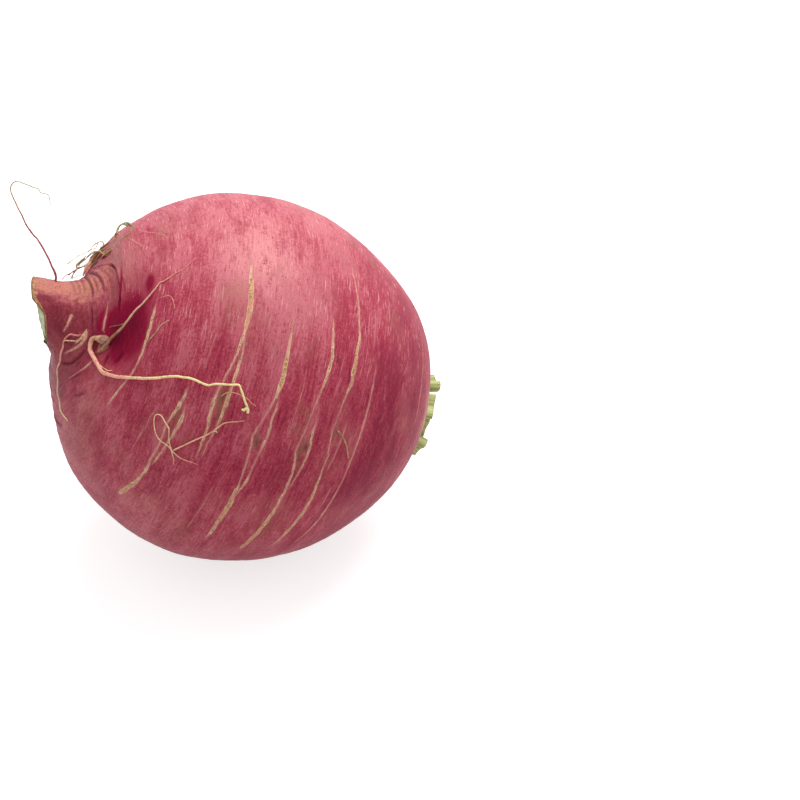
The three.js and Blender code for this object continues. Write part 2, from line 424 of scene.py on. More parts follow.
marks = dict(
    # where side roots came out: azimuth, along, length round the root, width, strength
    eyes=[(17, 22.4, 2.6, 0.6, 0.9), (27, 14.2, 2.6, 0.75, 1.0), (22, 13.6, 2.4, 0.8, 0.6),
          (18, 3.2, 1.7, 0.8, 1.0), (18, -8.1, 2.4, 0.9, 0.9), (20, -9.3, 1.5, 0.6, 1.0),
          (25, -15.9, 2.4, 0.8, 0.7), (14, -9.3, 2.4, 0.9, 0.45), (24, 43.0, 2.2, 0.9, 0.6)],
    # the same, small and dark
    spots=[(47, -11.8, 0.4, 0.4, 1.0), (99.5, 16.2, 0.95, 0.3, 0.8), (88.5, 32.3, 0.5, 0.35, 0.8),
           (17, 2.9, 0.8, 0.4, 0.7), (19, -9.4, 0.55, 0.4, 1.0), (15, -8.3, 0.8, 0.4, 0.6),
           (28.5, 13.7, 0.6, 0.4, 0.8), (62, 28.2, 0.5, 0.4, 0.4), (-14, 43.2, 1.6, 0.35, 0.5),
           (33, 26.0, 0.4, 0.3, 0.4), (131, 12.0, 0.5, 0.4, 0.8), (214, 22.0, 0.6, 0.4, 0.8),
           (262, -4.0, 0.5, 0.4, 0.7), (205, -16.0, 0.8, 0.4, 0.7)],
    # faint olive-brown patches
    stains=[(55, 17.2, 5.5, 2.8, 0.9), (70, 6.3, 1.1, 0.7, 0.8), (48, -4.4, 2.8, 1.6, 0.45),
            (27, -6.4, 4.5, 2.2, 0.75), (72, -27.8, 2.0, 1.8, 0.4), (42, 12.4, 6.0, 1.8, 0.35),
            (9, -6.0, 5.0, 3.0, 0.3), (-17, 37.5, 7.0, 4.0, 0.35), (106, 42.0, 7.0, 1.6, 0.8),
            (25, 13.6, 4.0, 1.7, 0.6), (12, -16.5, 6.0, 3.0, 0.4), (-24, 10.0, 8.0, 4.0, 0.35),
            (-25, 32.5, 1.6, 1.2, 0.6), (-13, -9.0, 7.0, 4.0, 0.5), (200, 10.0, 8.0, 4.0, 0.6),
            (250, -12.0, 9.0, 4.0, 0.5), (150, -20.0, 8.0, 5.0, 0.4), (300, 18.0, 9.0, 4.0, 0.5),
            (116, 8.0, 5.0, 3.0, 0.4), (170, 30.0, 6.0, 3.0, 0.5), (90, 33.5, 4.5, 2.0, 0.5),
            (96, -15.0, 5.0, 1.6, 0.6), (93, -21.5, 5.0, 1.4, 0.6), (84, -27.5, 4.0, 1.2, 0.5)],
    # broad pale patches, a painted highlight on paler skin, and the grey-pink ones by the neck
    pale=[(75, 11, 16, 12, 0.95), (60, 2, 12, 9, 0.4), (94, 20, 20, 16, 0.4), (98, -4, 22, 12, 0.4),
          (236, 8, 22, 14, 0.5), (-26, 20, 22, 14, 0.35)],
    dusky=[(80, 40.5, 9, 5, 0.6), (66, 43.2, 5, 2.5, 0.7), (75, 33, 8, 4, 0.2), (-12, 41, 9, 4, 0.6),
           (-34, 40, 10, 6, 0.6), (150, 40, 12, 6, 0.5), (230, 40, 12, 6, 0.5)],
    # and broad deep ones: painted shade on the crown side, with a deeper tone round the crown
    deep=[(54, -34, 28, 15, 1.0), (80, -25, 14, 9, 0.5), (53, 31.5, 7, 3.5, 0.6),
          (18, -33, 22, 13, 0.9), (-20, -36, 22, 12, 0.6), (230, -33, 28, 14, 0.7),
          (150, -34, 24, 12, 0.6), (290, -30, 20, 12, 0.5)],
    # small deep pink ones
    blushes=[(98, 35.9, 3.6, 0.5, 0.9), (57, 34.6, 2.6, 1.0, 0.9), (12, -16.0, 3.0, 1.2, 0.5),
             (46, 17.0, 5.0, 1.6, 0.35), (-2, 12.0, 9.0, 3.5, 0.35), (8, 40.5, 2.2, 0.4, 0.5),
             (13, 36.0, 2.4, 0.35, 0.5), (-15, 43.4, 2.4, 0.4, 0.9)],
    # painted shade: the saturated red of the hollow beside the neck, and its darkest places
    hollow=[(43, 38.3, 8.0, 6.5, 1.3), (39, 42.6, 5.5, 4.5, 1.3), (51, 38.6, 3.6, 5.5, 1.1),
            (31, 40.2, 4.5, 3.2, 1.0), (63, 35.2, 2.6, 1.6, 0.95), (60, 41.8, 7.0, 0.7, 0.9),
            (45, 44.0, 4.0, 1.6, 0.8), (22, 41.6, 3.0, 1.0, 0.6)],
    shadows=[(36, 41.2, 4.5, 3.2, 0.95), (45, 38.8, 2.2, 3.0, 0.7), (33, 44.6, 5.0, 1.5, 0.5),
             (41, 41.2, 3.0, 3.0, 0.6)],
    eyeDepth=0.3,           # mm
)

creases = dict(
    # folds of the neck: azimuth, along, then depth and width in mm; a ridge has a negative depth
    folds=[
        ([(150, 44.3), (126, 45.2), (111, 44.4), (102, 43.8), (94, 43.4)], 0.3, 0.26),
        ([(103, 43.8), (96, 43.5), (85, 43.1), (77, 42.7), (71, 42.4), (65, 42.1), (58, 41.7),
          (47, 41.8)], 0.75, 0.28),
        ([(76, 42.2), (70, 41.6), (66, 41.2), (62, 41.0), (56, 40.8)], 0.25, 0.28),
        ([(128, 46.2), (121, 45.9), (108, 45.6), (95, 45.1), (83, 44.7), (68, 44.4)], 0.5, 0.3),
        ([(114, 44.9), (100, 44.6), (88, 44.0), (78, 43.7), (70, 43.5)], 0.16, 0.25),
        ([(130, 46.6), (109, 46.6), (90, 46.2), (78, 45.9), (66, 45.8)], 0.5, 0.3),
        ([(100, 45.9), (90, 45.6), (80, 45.3), (70, 45.2)], 0.28, 0.24),
        ([(121, 48.0), (102, 47.9), (85, 47.6), (72, 47.5)], 0.22, 0.24),
        ([(118, 47.4), (100, 47.2), (86, 47.0), (74, 46.8)], 0.22, 0.22),
        ([(125, 48.9), (99, 48.5), (86, 48.3), (78, 48.2)], 0.16, 0.24),
        ([(66, 46.0), (58, 45.8), (51, 45.5), (44, 45.3), (33, 45.1)], 0.45, 0.32),
        ([(60, 45.2), (54, 45.1), (47, 44.9), (41, 44.7), (33, 44.4)], 0.3, 0.3),
        ([(56, 43.3), (48, 43.3), (40, 43.3), (34, 42.8)], 0.2, 0.28),
        ([(14, 41.6), (20, 41.6), (25, 41.3), (30, 40.6)], 0.3, 0.32),
        ([(18, 41.0), (22, 40.2), (25, 39.6), (29, 39.0), (35, 37.6)], 0.4, 0.34),
        ([(12, 44.8), (16, 44.3), (20, 43.8), (26, 43.5)], 0.45, 0.3),
        ([(-13, 47.4), (-9, 47.3), (1, 45.9), (11, 45.2), (17, 44.9), (24, 44.5)], 0.6, 0.36),
        ([(-17, 45.2), (-12, 44.9), (-4, 44.2), (5, 43.5)], 0.35, 0.34),
        ([(-20, 43.2), (-14, 42.8), (-5, 42.1), (1, 41.6)], 0.4, 0.34),
        ([(-9, 45.4), (-2, 44.8), (9, 44.2), (13, 43.8)], -0.25, 0.5),
        ([(1, 47.6), (15, 46.7), (26, 45.8), (35, 45.8)], -0.25, 0.45),
        ([(104, 37.6), (98, 35.9), (93, 33.9)], 0.22, 0.36),
        ([(148, 41.6), (175, 43.1), (205, 43.8), (228, 43.2)], 0.75, 0.5),
        ([(150, 44.6), (170, 44.9), (196, 45.0), (222, 44.6)], 0.35, 0.34),
        ([(165, 46.3), (190, 46.6), (215, 46.3)], 0.45, 0.36),
        ([(230, 45.7), (255, 46.1), (285, 45.9), (300, 45.1)], 0.5, 0.42),
        ([(240, 41.7), (262, 42.3), (290, 42.5), (318, 41.7)], 0.5, 0.42),
        ([(228, 43.9), (250, 44.2), (276, 44.3), (304, 43.6)], 0.3, 0.34),
        ([(140, 48.3), (168, 48.7), (200, 48.4)], 0.25, 0.3),
        ([(250, 48.3), (275, 48.6), (310, 48.1)], 0.25, 0.3),
    ],
    fade=9,                 # degrees over which a fold's ends die away
    bank=dict(height=0.45, away=1.9, wide=1.1),     # the skin pushed up beside a fold, in shares of it
    shade=dict(wide=1.15, more=0.25),               # its painted shade line, the same
    wrinkle=0.13,           # of the small unruly ones over the whole neck, mm
    wrinkleGrain=(12, 12, 0.9),
)

skin = dict(
    columns=208,
    globeRows=300,
    neckRows=116,
    neckFrom=38.0,          # along the axis
    neckStarts=(36, 44),    # the neck's own roughness comes in from and to here, along the axis
    crownEnds=(17, 9),      # and the crown's goes out from here to here, over the skin
    neckColour=(41.2, 46.5),
    crownColour=(26, 9),    # the same for their colours
    # unevenness in mm, and the size of its grain: one number, or three that draw it out round the root
    lumps=0.45,
    lumpSize=21,
    smallLumps=0.35,        # as a share of the lumps
    smallLumpSize=8,
    ripple=0.06,
    rippleGrain=(9, 9, 1.4),
    crownRipple=0.3,
    crownGrain=(9, 9, 1.1),
    # where the cut's edge is drawn back: from and to this azimuth, with a soft end, mm back
    nick=dict(start=-34, end=43, soft=12, back=2.0),
    # the tan band at the cut: azimuth, width in mm
    band=[(-180, 0.4), (-40, 0.35), (30, 0.35), (40, 0.6), (50, 0.9), (64, 1.1), (80, 0.9), (100, 0.6),
          (125, 0.5), (180, 0.4)],
    bandWave=0.5,
    bandWaveSize=1.8,
    # the rolled lip: how far its rings lie inwards and forth, mm
    lip=[(0.1, 0.18), (0.3, 0.27), (0.55, 0.22), (0.75, 0.02), (0.85, -0.4)],
    lipWave=0.35,
    lipWaveSize=2.2,
)


def unwrapped(azimuth, middle):
    # the same azimuth, counted so that it lies within half a turn of the middle
    return (azimuth - middle + 180) % 360 - 180 + middle


def alongLine(points, azimuth, arc):
    # distance over the skin from a line round the root, its width there, and how far inside its ends
    points = np.array(sorted(points), float)
    here = unwrapped(azimuth, (points[0, 0] + points[-1, 0]) / 2)
    line = np.interp(here, points[:, 0], points[:, 1])
    ends = np.minimum(here - points[0, 0], points[-1, 0] - here)
    width = np.interp(here, points[:, 0], points[:, -1])
    return arc - arcAt(line), width, ends


def turned(strands, turn, seed):
    # the strands of the globe again, further round the root and a little different
    draw = random.Random(seed)
    copies = []
    for strand in strands:
        shift = turn + draw.uniform(-scars["backTurnDraw"], scars["backTurnDraw"])
        drift = draw.uniform(-scars["backAlongDraw"], scars["backAlongDraw"])
        stretch = draw.uniform(*scars["backStretch"])
        middle = sum(point[0] for point in strand) / len(strand)
        if strand[0][1] >= scars["backLimit"]:
            continue
        copy = []
        for azimuth, along, width in strand:
            mirrored = (azimuth - middle) * -stretch + middle + shift
            copy.append((mirrored, along + drift + draw.uniform(-0.2, 0.2), width))
        copies.append(copy)
    return copies


def nearestScar(strands, azimuth, arc):
    # distance to the nearest strand and its width, which runs out between strands and past their ends
    reach = scars["reach"]
    farAway = 99.0
    nearest = np.full(arc.shape, farAway)
    second = np.full(arc.shape, farAway)
    distance = np.full(arc.shape, reach)
    width = np.zeros(arc.shape)
    for strand in strands:
        off, wide, ends = alongLine(strand, azimuth, arc)
        wide = wide * smooth(0, scars["tip"], ends) * smooth(reach, 0.6 * reach, np.abs(off))
        score = np.abs(off) + 0.5 * np.maximum(-ends, 0)
        closer = score < nearest
        second = np.where(closer, nearest, np.minimum(second, score))
        nearest = np.where(closer, score, nearest)
        distance = np.where(closer, off, distance)
        width = np.where(closer, wide, width)
    return np.clip(distance, -reach, reach), width * smooth(0, scars["gap"], second - nearest)


def patch(places, azimuth, arc, radius):
    # soft patches, each an azimuth, a place along, a length round the root, a width and a strength
    shade = np.zeros(arc.shape)
    for middle, along, length, width, strength in places:
        offRound = np.radians(unwrapped(azimuth, middle) - middle) * radius / length
        offAlong = (arc - arcAt(along)) / width
        shade = np.maximum(shade, strength * np.exp(-offRound ** 2 - offAlong ** 2))
    return shade


def nicked(azimuth):
    # 1 where the cut's edge is drawn back
    nick = skin["nick"]
    inside = np.minimum(azimuth - nick["start"], nick["end"] - azimuth)
    return smooth(-nick["soft"], nick["soft"], inside)


def skinRuns(azimuth):
    # a run for each row and column: rows closer together on the neck, and ending at the cut's edge
    back = skin["nick"]["back"] * nicked(azimuth)
    neckRun = float(runAt(skin["neckFrom"]))
    neckArc, cutArc = np.interp([neckRun, 1], runTable, arcTable)
    globe = np.linspace(0, neckArc, skin["globeRows"] + 1)[1:]
    share = np.linspace(0, 1, skin["neckRows"] + 1)[1:]
    neck = neckArc + (cutArc - back)[None, :] * share[:, None] - neckArc * share[:, None]
    arcs = np.concatenate([np.broadcast_to(globe[:, None], (len(globe), len(azimuth))), neck])
    return np.interp(arcs, arcTable, runTable), arcs


def outwards(grid):
    # unit normals of a grid of rings
    down = np.gradient(grid, axis=0)
    across = np.roll(grid, -1, 1) - np.roll(grid, 1, 1)
    normals = np.cross(across, down)
    return normals / np.maximum(np.linalg.norm(normals, axis=-1, keepdims=True), 1e-9)


def gridFaces(rows, columns):
    # the quads between rings of points, each ring closed on itself
    faces = []
    for row in range(rows - 1):
        here = row * columns
        after = here + columns
        for column in range(columns):
            following = (column + 1) % columns
            faces.append((here + column, here + following, after + following, after + column))
    return faces


def foldsOf(azimuth, arc):
    # how deep the folds press the skin in, and how much painted shade lies in them
    bank = creases["bank"]
    shade = creases["shade"]
    depths = np.zeros(arc.shape)
    shades = np.zeros(arc.shape)
    for points, depth, wide in creases["folds"]:
        off, _, ends = alongLine(points, azimuth, arc)
        fade = smooth(0, creases["fade"], ends)
        beside = (np.abs(off) - bank["away"] * wide) / (bank["wide"] * wide)
        depths += depth * fade * np.exp(-(off / wide) ** 2)
        depths -= bank["height"] * depth * fade * np.exp(-beside ** 2)
        if depth > 0:
            line = min(1, depth + shade["more"]) * fade * np.exp(-(off / (shade["wide"] * wide)) ** 2)
            shades = np.maximum(shades, line)
    return depths, shades


def unevenness(grid, grain, along, arc):
    # lumps and ripples all over, wrinkles on the neck and rings on the crown
    neck = smooth(*skin["neckStarts"], along)
    crown = smooth(*skin["crownEnds"], arc)
    height = skin["lumps"] * roughness3(grid / skin["lumpSize"], 1) * (1 - 0.6 * neck)
    height += skin["smallLumps"] * skin["lumps"] * roughness3(grid / skin["smallLumpSize"], 2)
    height += skin["ripple"] * roughness3(grain / np.array(skin["rippleGrain"]), 3)
    height += creases["wrinkle"] * neck * roughness3(grain / np.array(creases["wrinkleGrain"]), 4)
    height += skin["crownRipple"] * crown * roughness3(grain / np.array(skin["crownGrain"]), 5)
    return height


def rolledLip(rim, azimuth):
    # the rings that carry the cut's edge on inwards
    lean = math.radians(ringAt(1.0)[4])
    axis = np.array([0, math.sin(lean), math.cos(lean)])
    middle = rim.mean(0)
    inwards = (middle - rim) / np.linalg.norm(middle - rim, axis=1, keepdims=True)
    wave = 1 + skin["lipWave"] * roughness3(rim / skin["lipWaveSize"], 6) - 0.6 * nicked(azimuth)
    wave = wave[:, None]
    rings = []
    for inset, forth in skin["lip"]:
        rings.append(rim + inwards * inset * wave + axis * forth * wave)
    return np.array(rings)


def makeSkin(material):
    azimuth = np.arange(skin["columns"]) * 360 / skin["columns"] - 180
    runs, arc = skinRuns(azimuth)
    azimuth = np.broadcast_to(azimuth[None, :], arc.shape)
    smoothGrid = skinPoint(runs, azimuth)
    ring = ringAt(runs)
    along = ring[..., 0]
    radius = ring[..., 1]
    turn = np.radians(azimuth)
    size = rootShape["globeRadius"]
    grain = np.stack([size * np.cos(turn), size * np.sin(turn), arc], -1)

    scarFields = {}
    for key in ("first", "second", "third"):
        strands = scars[key] + turned(scars[key], scars["backTurn"], len(scarFields) + 5)
        scarFields[key] = nearestScar(strands, azimuth, arc)
    backEyes = [(place[0] + scars["backTurn"], *place[1:])
                for place in marks["eyes"] if place[1] < scars["backLimit"]]
    eyeShade = patch(marks["eyes"] + backEyes, azimuth, arc, radius)
    foldDepth, paintedFoldShade = foldsOf(azimuth, arc)
    paintedFoldShade = np.maximum(paintedFoldShade, patch(marks["shadows"], azimuth, arc, radius))

    height = unevenness(smoothGrid, grain, along, arc) - foldDepth
    for off, wide in scarFields.values():
        height += scars["rise"] * smooth(0, 0.6, wide) * np.exp(-(off / (0.5 * wide + 0.25)) ** 2)
    height -= marks["eyeDepth"] * eyeShade
    outer = smoothGrid + outwards(smoothGrid) * height[..., None]
    lip = rolledLip(outer[-1], azimuth[-1])
    grid = np.concatenate([outer, lip])
    rows, columns = grid.shape[:2]
    extra = len(lip)

    def grown(values):
        # the values of the last row again for the lip's rows
        return np.concatenate([values, np.repeat(values[-1:], extra, 0)])

    def perPoint(values, atPole=0.0):
        return np.append(grown(values).reshape(-1), atPole)

    def painted(name):
        return perPoint(patch(marks[name], azimuth, arc, radius))

    bandWidth = np.interp(azimuth, *np.array(skin["band"]).T)
    bandWidth = bandWidth * (1 + skin["bandWave"] * roughness3(outer / skin["bandWaveSize"], 7))
    rimShade = grown(smooth(1.25, 0.5, (arc[-1:] - arc) / bandWidth))
    rimShade[-extra:] = 1.0
    lipShade = np.zeros((rows, columns))
    lipShade[-extra:] = 1.0
    lipShade[-extra - 1] = 0.6

    points = toFrame(grid.reshape(-1, 3))
    points[:, 2] = np.maximum(points[:, 2], 0)
    lipRing = points[-columns:]
    pole = len(points)
    points = np.concatenate([points, toFrame(skinPoint(np.array(0.0), np.array(0.0))[None, :])])
    faces = gridFaces(rows, columns)
    faces += [(pole, (column + 1) % columns, column) for column in range(columns)]

    # rings round the crown, a little off round
    crownLines = np.stack([arc + 0.6 * np.sin(3 * turn), 1.3 * np.cos(turn), 1.3 * np.sin(turn)], -1)
    attributes = dict(
        grain=np.concatenate([grown(grain).reshape(-1, 3), [[0, 0, 0]]]),
        crownLines=np.concatenate([grown(crownLines).reshape(-1, 3), [[0, 0, 0]]]),
        eyeShade=perPoint(eyeShade),
        spotShade=painted("spots"),
        stainShade=painted("stains"),
        blushShade=painted("blushes"),
        hollowPaintedShade=painted("hollow"),
        paintedFoldShade=perPoint(paintedFoldShade),
        neckShade=perPoint(smooth(*skin["neckColour"], along)),
        crownShade=perPoint(smooth(*skin["crownColour"], arc), 1.0),
        # how far up the skin faces, for painted light on top and painted shade below
        topLitShade=perPoint(np.sin(turn)),
        rimShade=np.append(rimShade.reshape(-1), 0.0),
        lipShade=np.append(lipShade.reshape(-1), 0.0),
        paleAndSheenShade=painted("pale"),
        duskyShade=painted("dusky"),
        deepToneAndShade=painted("deep"),
    )
    for key, (off, wide) in scarFields.items():
        attributes[key + "Scar"] = perPoint(off, scars["reach"])
        attributes[key + "Width"] = perPoint(wide)
    return meshObject("skin", points, faces, material, attributes), lipRing


skinPaint = dict(
    deep=paint(140, 24, 58),
    middle=paint(177, 62, 82),
    light=paint(211, 113, 127),
    dash=paint(239, 169, 172),
    cloud=paint(166, 82, 84),
    # a painted highlight on paler skin
    paleSkinAndSheen=paint(236, 156, 157),
    dusky=paint(198, 128, 122),
    # painted shade of the hollow beside the neck, saturated and at its darkest
    hollow=paint(160, 4, 62),
    hollowDarkShade=paint(122, 0, 36),
    # painted shade in the folds, also the neck's own dark streaks
    fold=paint(98, 4, 34),
    blush=paint(166, 10, 66),
    scarPale=paint(252, 206, 172),
    scarTan=paint(232, 184, 130),
    scarOlive=paint(150, 120, 70),
    scarRose=paint(232, 160, 146),
    halo=paint(208, 112, 122),
    eye=paint(128, 100, 66),
    spot=paint(62, 34, 26),
    stain=paint(142, 108, 66),
    # the neck's top, paler and with painted light, and its lower side, darker and with painted shade
    neckPaleLitTop=paint(194, 136, 106),
    neckPink=paint(188, 98, 106),
    neckDarkShadedLow=paint(132, 48, 58),
    neckUnder=paint(156, 68, 78),
    rim=paint(156, 106, 76),
    rimPale=paint(198, 154, 114),
    rimDark=paint(92, 82, 50),
    crown=paint(186, 186, 122),
    crownPale=paint(214, 208, 158),
    crownEdge=paint(220, 150, 132),
    crownLine=paint(140, 124, 78),
    dust=paint(238, 208, 208),
    roughness=0.48,
    specular=0.1,
    # streaks: how close their grain is, twice round the root and then along it
    streaks=dict(
        fine=(0.24, 0.24, 2.4),
        dashes=(0.24, 0.24, 3.6),
        nicks=(0.3, 0.3, 3.4),
        broad=(0.06, 0.06, 0.24),
        fibre=(0.26, 0.26, 4.6),
        worn=(0.35, 0.35, 0.8),
    ),
    # textures that are the same all ways, with their size in mm
    sizes=dict(cloud=13, dust=8, patchy=4.5, wobble=2.2, mottle=1.3, gritty=0.55),
    # how strongly each one lightens and darkens the pink
    toneShare=dict(fine=1.05, mottle=0.4, gritty=0.8, broad=0.8, cloud=0.5),
)


def skinFinish():
    n = Nodes("radish skin")
    streaks = skinPaint["streaks"]
    sizes = skinPaint["sizes"]
    toneShare = skinPaint["toneShare"]
    grain = n.vector("grain")
    places = n.places()
    fine = n.noise(n.stretched(grain, streaks["fine"]), 1.0, 4.0, 0.65)
    dashes = n.noise(n.stretched(grain, streaks["dashes"], 12.4), 1.0, 1.0)
    nicks = n.noise(n.stretched(grain, streaks["nicks"], 27.1), 1.0, 1.0)
    broad = n.noise(n.stretched(grain, streaks["broad"], 5.3), 1.0, 2.0)
    cloud = n.noise(places, sizes["cloud"] * mm, 3.0, 0.55)
    mottle = n.noise(places, sizes["mottle"] * mm, 4.0, 0.75)
    gritty = n.noise(places, sizes["gritty"] * mm, 2.0, 0.75)
    # how far up the skin faces, which paints light on top and shade below
    top = n.number("topLitShade")

    # the pinks, in short streaks that run round the root, with painted light on top: lighter there,
    # with fewer dark streaks and more pale dashes
    tone = n.swing(fine, toneShare["fine"])
    tone = n.plus(tone, n.swing(mottle, toneShare["mottle"]))
    tone = n.plus(tone, n.swing(gritty, toneShare["gritty"]))
    tone = n.plus(tone, n.swing(broad, toneShare["broad"]))
    tone = n.plus(tone, n.swing(cloud, toneShare["cloud"]))
    tone = n.plus(tone, n.times(n.number("paleAndSheenShade"), 0.1))
    tone = n.plus(tone, n.fit(top, 0.3, 1.0, 0.0, 0.1))
    # darker in the deep patches: painted shade, with a deeper tone
    tone = n.maths("SUBTRACT", tone, n.times(n.number("deepToneAndShade"), 0.3))
    deepShare = n.times(n.fit(tone, 0.03, -0.36), n.fit(top, 0.55, 0.95, 1.0, 0.6))
    colour = n.blend(deepShare, skinPaint["middle"], skinPaint["deep"])
    colour = n.blend(n.fit(tone, -0.03, 0.36), colour, skinPaint["light"])
    colour = n.blend(n.fit(cloud, 0.5, 0.68, 0.0, 0.4), colour, skinPaint["cloud"])
    # the painted highlight on paler skin
    paleSheenShare = n.times(n.number("paleAndSheenShade"), n.fit(tone, -0.3, 0.3, 0.15, 0.9))
    colour = n.blend(paleSheenShare, colour, skinPaint["paleSkinAndSheen"])
    duskyShare = n.times(n.number("duskyShade"), n.fit(tone, -0.3, 0.2, 0.35, 0.9))
    colour = n.blend(duskyShare, colour, skinPaint["dusky"])
    nickShare = n.times(n.fit(nicks, 0.62, 0.72, 0.0, 0.4), n.fit(top, 0.5, 0.9, 1.0, 0.4))
    colour = n.blend(nickShare, colour, skinPaint["deep"])
    inPatches = n.fit(broad, 0.36, 0.56, 0.15, 1.0)
    dashShare = n.times(n.fit(dashes, 0.6, 0.72), inPatches, n.fit(top, 0.45, 1.0, 0.2, 0.75))
    colour = n.blend(dashShare, colour, skinPaint["dash"])

    # the neck, paler above and darker below: its own colour, with painted light on top and painted
    # shade below
    neck = n.number("neckShade")
    uneven = n.plus(n.swing(mottle, 0.3), n.swing(cloud, 0.25))
    height = n.plus(top, uneven)
    litTopColour = n.blend(n.fit(mottle, 0.2, 0.6), skinPaint["neckPink"], skinPaint["neckPaleLitTop"])
    litTopColour = n.blend(n.fit(height, 0.9, 1.02), skinPaint["neckPink"], litTopColour)
    shadedLowColour = n.blend(n.fit(top, 0.55, 0.15), skinPaint["neckDarkShadedLow"], skinPaint["neckUnder"])
    neckColour = n.blend(n.fit(height, 0.84, 1.0), shadedLowColour, litTopColour)
    neckColour = n.blend(n.fit(tone, 0.1, -0.4, 0.0, 0.5), neckColour, skinPaint["fold"])
    colour = n.blend(n.times(neck, n.fit(tone, -0.2, 0.3, 1.0, 0.75)), colour, neckColour)

    # patches
    patchy = n.fit(n.noise(places, sizes["patchy"] * mm, 4.0, 0.65), 0.38, 0.62, 0.15, 1.0)
    colour = n.blend(n.times(n.number("stainShade"), patchy, 0.6), colour, skinPaint["stain"])
    blushShare = n.times(n.number("blushShade"), n.fit(fine, 0.3, 0.6, 0.5, 1.0))
    colour = n.blend(blushShare, colour, skinPaint["blush"])

    # painted shade: the red of the hollow, the dark of the folds
    hollow = n.plus(n.number("hollowPaintedShade"), n.times(tone, 0.9))
    redShare = n.fit(n.plus(fine, n.times(gritty, 0.5)), 0.62, 0.9)
    hollowShadeColour = n.blend(redShare, skinPaint["hollowDarkShade"], skinPaint["hollow"])
    colour = n.blend(n.fit(hollow, 0.15, 0.62, 0.0, 1.0), colour, hollowShadeColour)
    colour = n.blend(n.times(n.number("paintedFoldShade"), 0.75), colour, skinPaint["fold"])

    # the pale green crown, the eyes and the spots
    crown = n.plus(n.number("crownShade"), n.swing(cloud, 1.5))
    crown = n.plus(crown, n.swing(fine, 0.7))
    leafLines = n.noise(n.vector("crownLines"), 1.0, 2.0, 0.5)
    crownColour = n.blend(n.fit(mottle, 0.35, 0.65), skinPaint["crown"], skinPaint["crownPale"])
    crownColour = n.blend(n.fit(leafLines, 0.56, 0.68, 0.0, 0.6), crownColour, skinPaint["crownLine"])
    colour = n.blend(n.fit(crown, 0.2, 0.75, 0.0, 0.9), colour, skinPaint["crownEdge"])
    colour = n.blend(n.fit(crown, 0.55, 1.1), colour, crownColour)
    eyeShare = n.times(n.number("eyeShade"), n.fit(gritty, 0.3, 0.6, 0.35, 0.95))
    colour = n.blend(eyeShare, colour, skinPaint["eye"])
    colour = n.blend(n.times(n.number("spotShade"), 0.9), colour, skinPaint["spot"])

    # the corky scars, of thin fibres with the skin between them
    calm = n.fit(neck, 0.0, 0.6, 1.0, 0.35)
    wobble = n.swing(n.noise(grain, sizes["wobble"], 3.0, 0.6), calm, 0.75)
    fibre = n.noise(n.stretched(grain, streaks["fibre"], 5.5), 1.0, 2.0)
    worn = n.noise(n.stretched(grain, streaks["worn"], 9.1), 1.0, 2.0)
    scar = None
    for name in ("first", "second", "third"):
        width = n.number(name + "Width")
        there = n.fit(width, 0.0, 0.35)
        off = n.maths("ABSOLUTE", n.plus(n.number(name + "Scar"), wobble))
        within = n.maths("SUBTRACT", n.times(width, 0.46), off)
        ragged = n.plus(within, n.swing(fibre, calm, 0.8))
        core = n.times(n.fit(ragged, -0.08, 0.12), there, n.fit(worn, 0.3, 0.55, 0.4, 1.0))
        halo = n.times(n.fit(within, -0.55, 0.05), there)
        inside = n.times(n.fit(within, 0.1, 0.28), n.fit(width, 0.7, 1.1))
        olive = n.times(n.fit(worn, 0.36, 0.55), n.fit(gritty, 0.42, 0.56), n.fit(within, 0.06, 0.26))
        cork = n.blend(n.fit(width, 0.4, 0.85), skinPaint["scarRose"], skinPaint["scarPale"])
        cork = n.blend(n.times(inside, 0.85), cork, skinPaint["scarTan"])
        cork = n.blend(n.times(olive, 0.85), cork, skinPaint["scarOlive"])
        colour = n.blend(n.times(halo, 0.3), colour, skinPaint["halo"])
        colour = n.blend(n.times(core, n.fit(width, 0.3, 0.8, 0.72, 0.95)), colour, cork)
        scar = core if scar is None else n.maths("MAXIMUM", scar, core)

    # the tan band at the cut, and dust
    rim = n.plus(n.number("rimShade"), n.swing(mottle, 1.5))
    rim = n.times(n.fit(rim, 0.15, 0.95), n.fit(n.number("rimShade"), 0.0, 0.15))
    rimColour = n.blend(n.fit(gritty, 0.4, 0.62), skinPaint["rim"], skinPaint["rimPale"])
    lipShare = n.times(n.number("lipShade"), n.fit(gritty, 0.3, 0.6, 0.5, 1.0))
    rimColour = n.blend(lipShare, rimColour, skinPaint["rimDark"])
    colour = n.blend(rim, colour, rimColour)
    dust = n.fit(n.dots(places, sizes["dust"] * mm), 0.026, 0.014)
    colour = n.blend(n.times(dust, 0.8), colour, skinPaint["dust"])

    rough = n.fit(fine, 0.3, 0.7, skinPaint["roughness"] - 0.05, skinPaint["roughness"] + 0.09)
    rough = n.plus(rough, n.times(n.maths("MAXIMUM", scar, rim), 0.3))
    normal = n.bump(fine, 0.2)
    normal = n.bump(gritty, 0.03, normal)
    normal = n.bump(n.times(scar, n.fit(fibre, 0.2, 0.8, 0.5, 1.0)), 0.14, normal)
    return n.finish(colour, rough, normal, skinPaint["specular"])


skinPiece, lipRing = makeSkin(skinFinish())
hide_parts("radish")
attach(skinPiece, "root")
print("skin made,", len(skinPiece.data.polygons), "faces")

cutFace = dict(
    rings=34,
    sides=104,
    crowding=0.7,           # below 1 the rings lie closer together towards the edge
    overlap=1.02,           # reaches a little under the lip
    sunk=0.3,               # under the lip, mm
    grit=0.2,
    gritSize=1.3,
    fineGritSize=0.6,
    flat=0.87,              # the share of the face that stays level where the edge is drawn back
    slope=1.4,              # how suddenly it slopes outside that
    pith=paint(204, 206, 166),
    bright=paint(230, 232, 202),
    rind=paint(172, 146, 104),
    dark=paint(92, 88, 66),
)


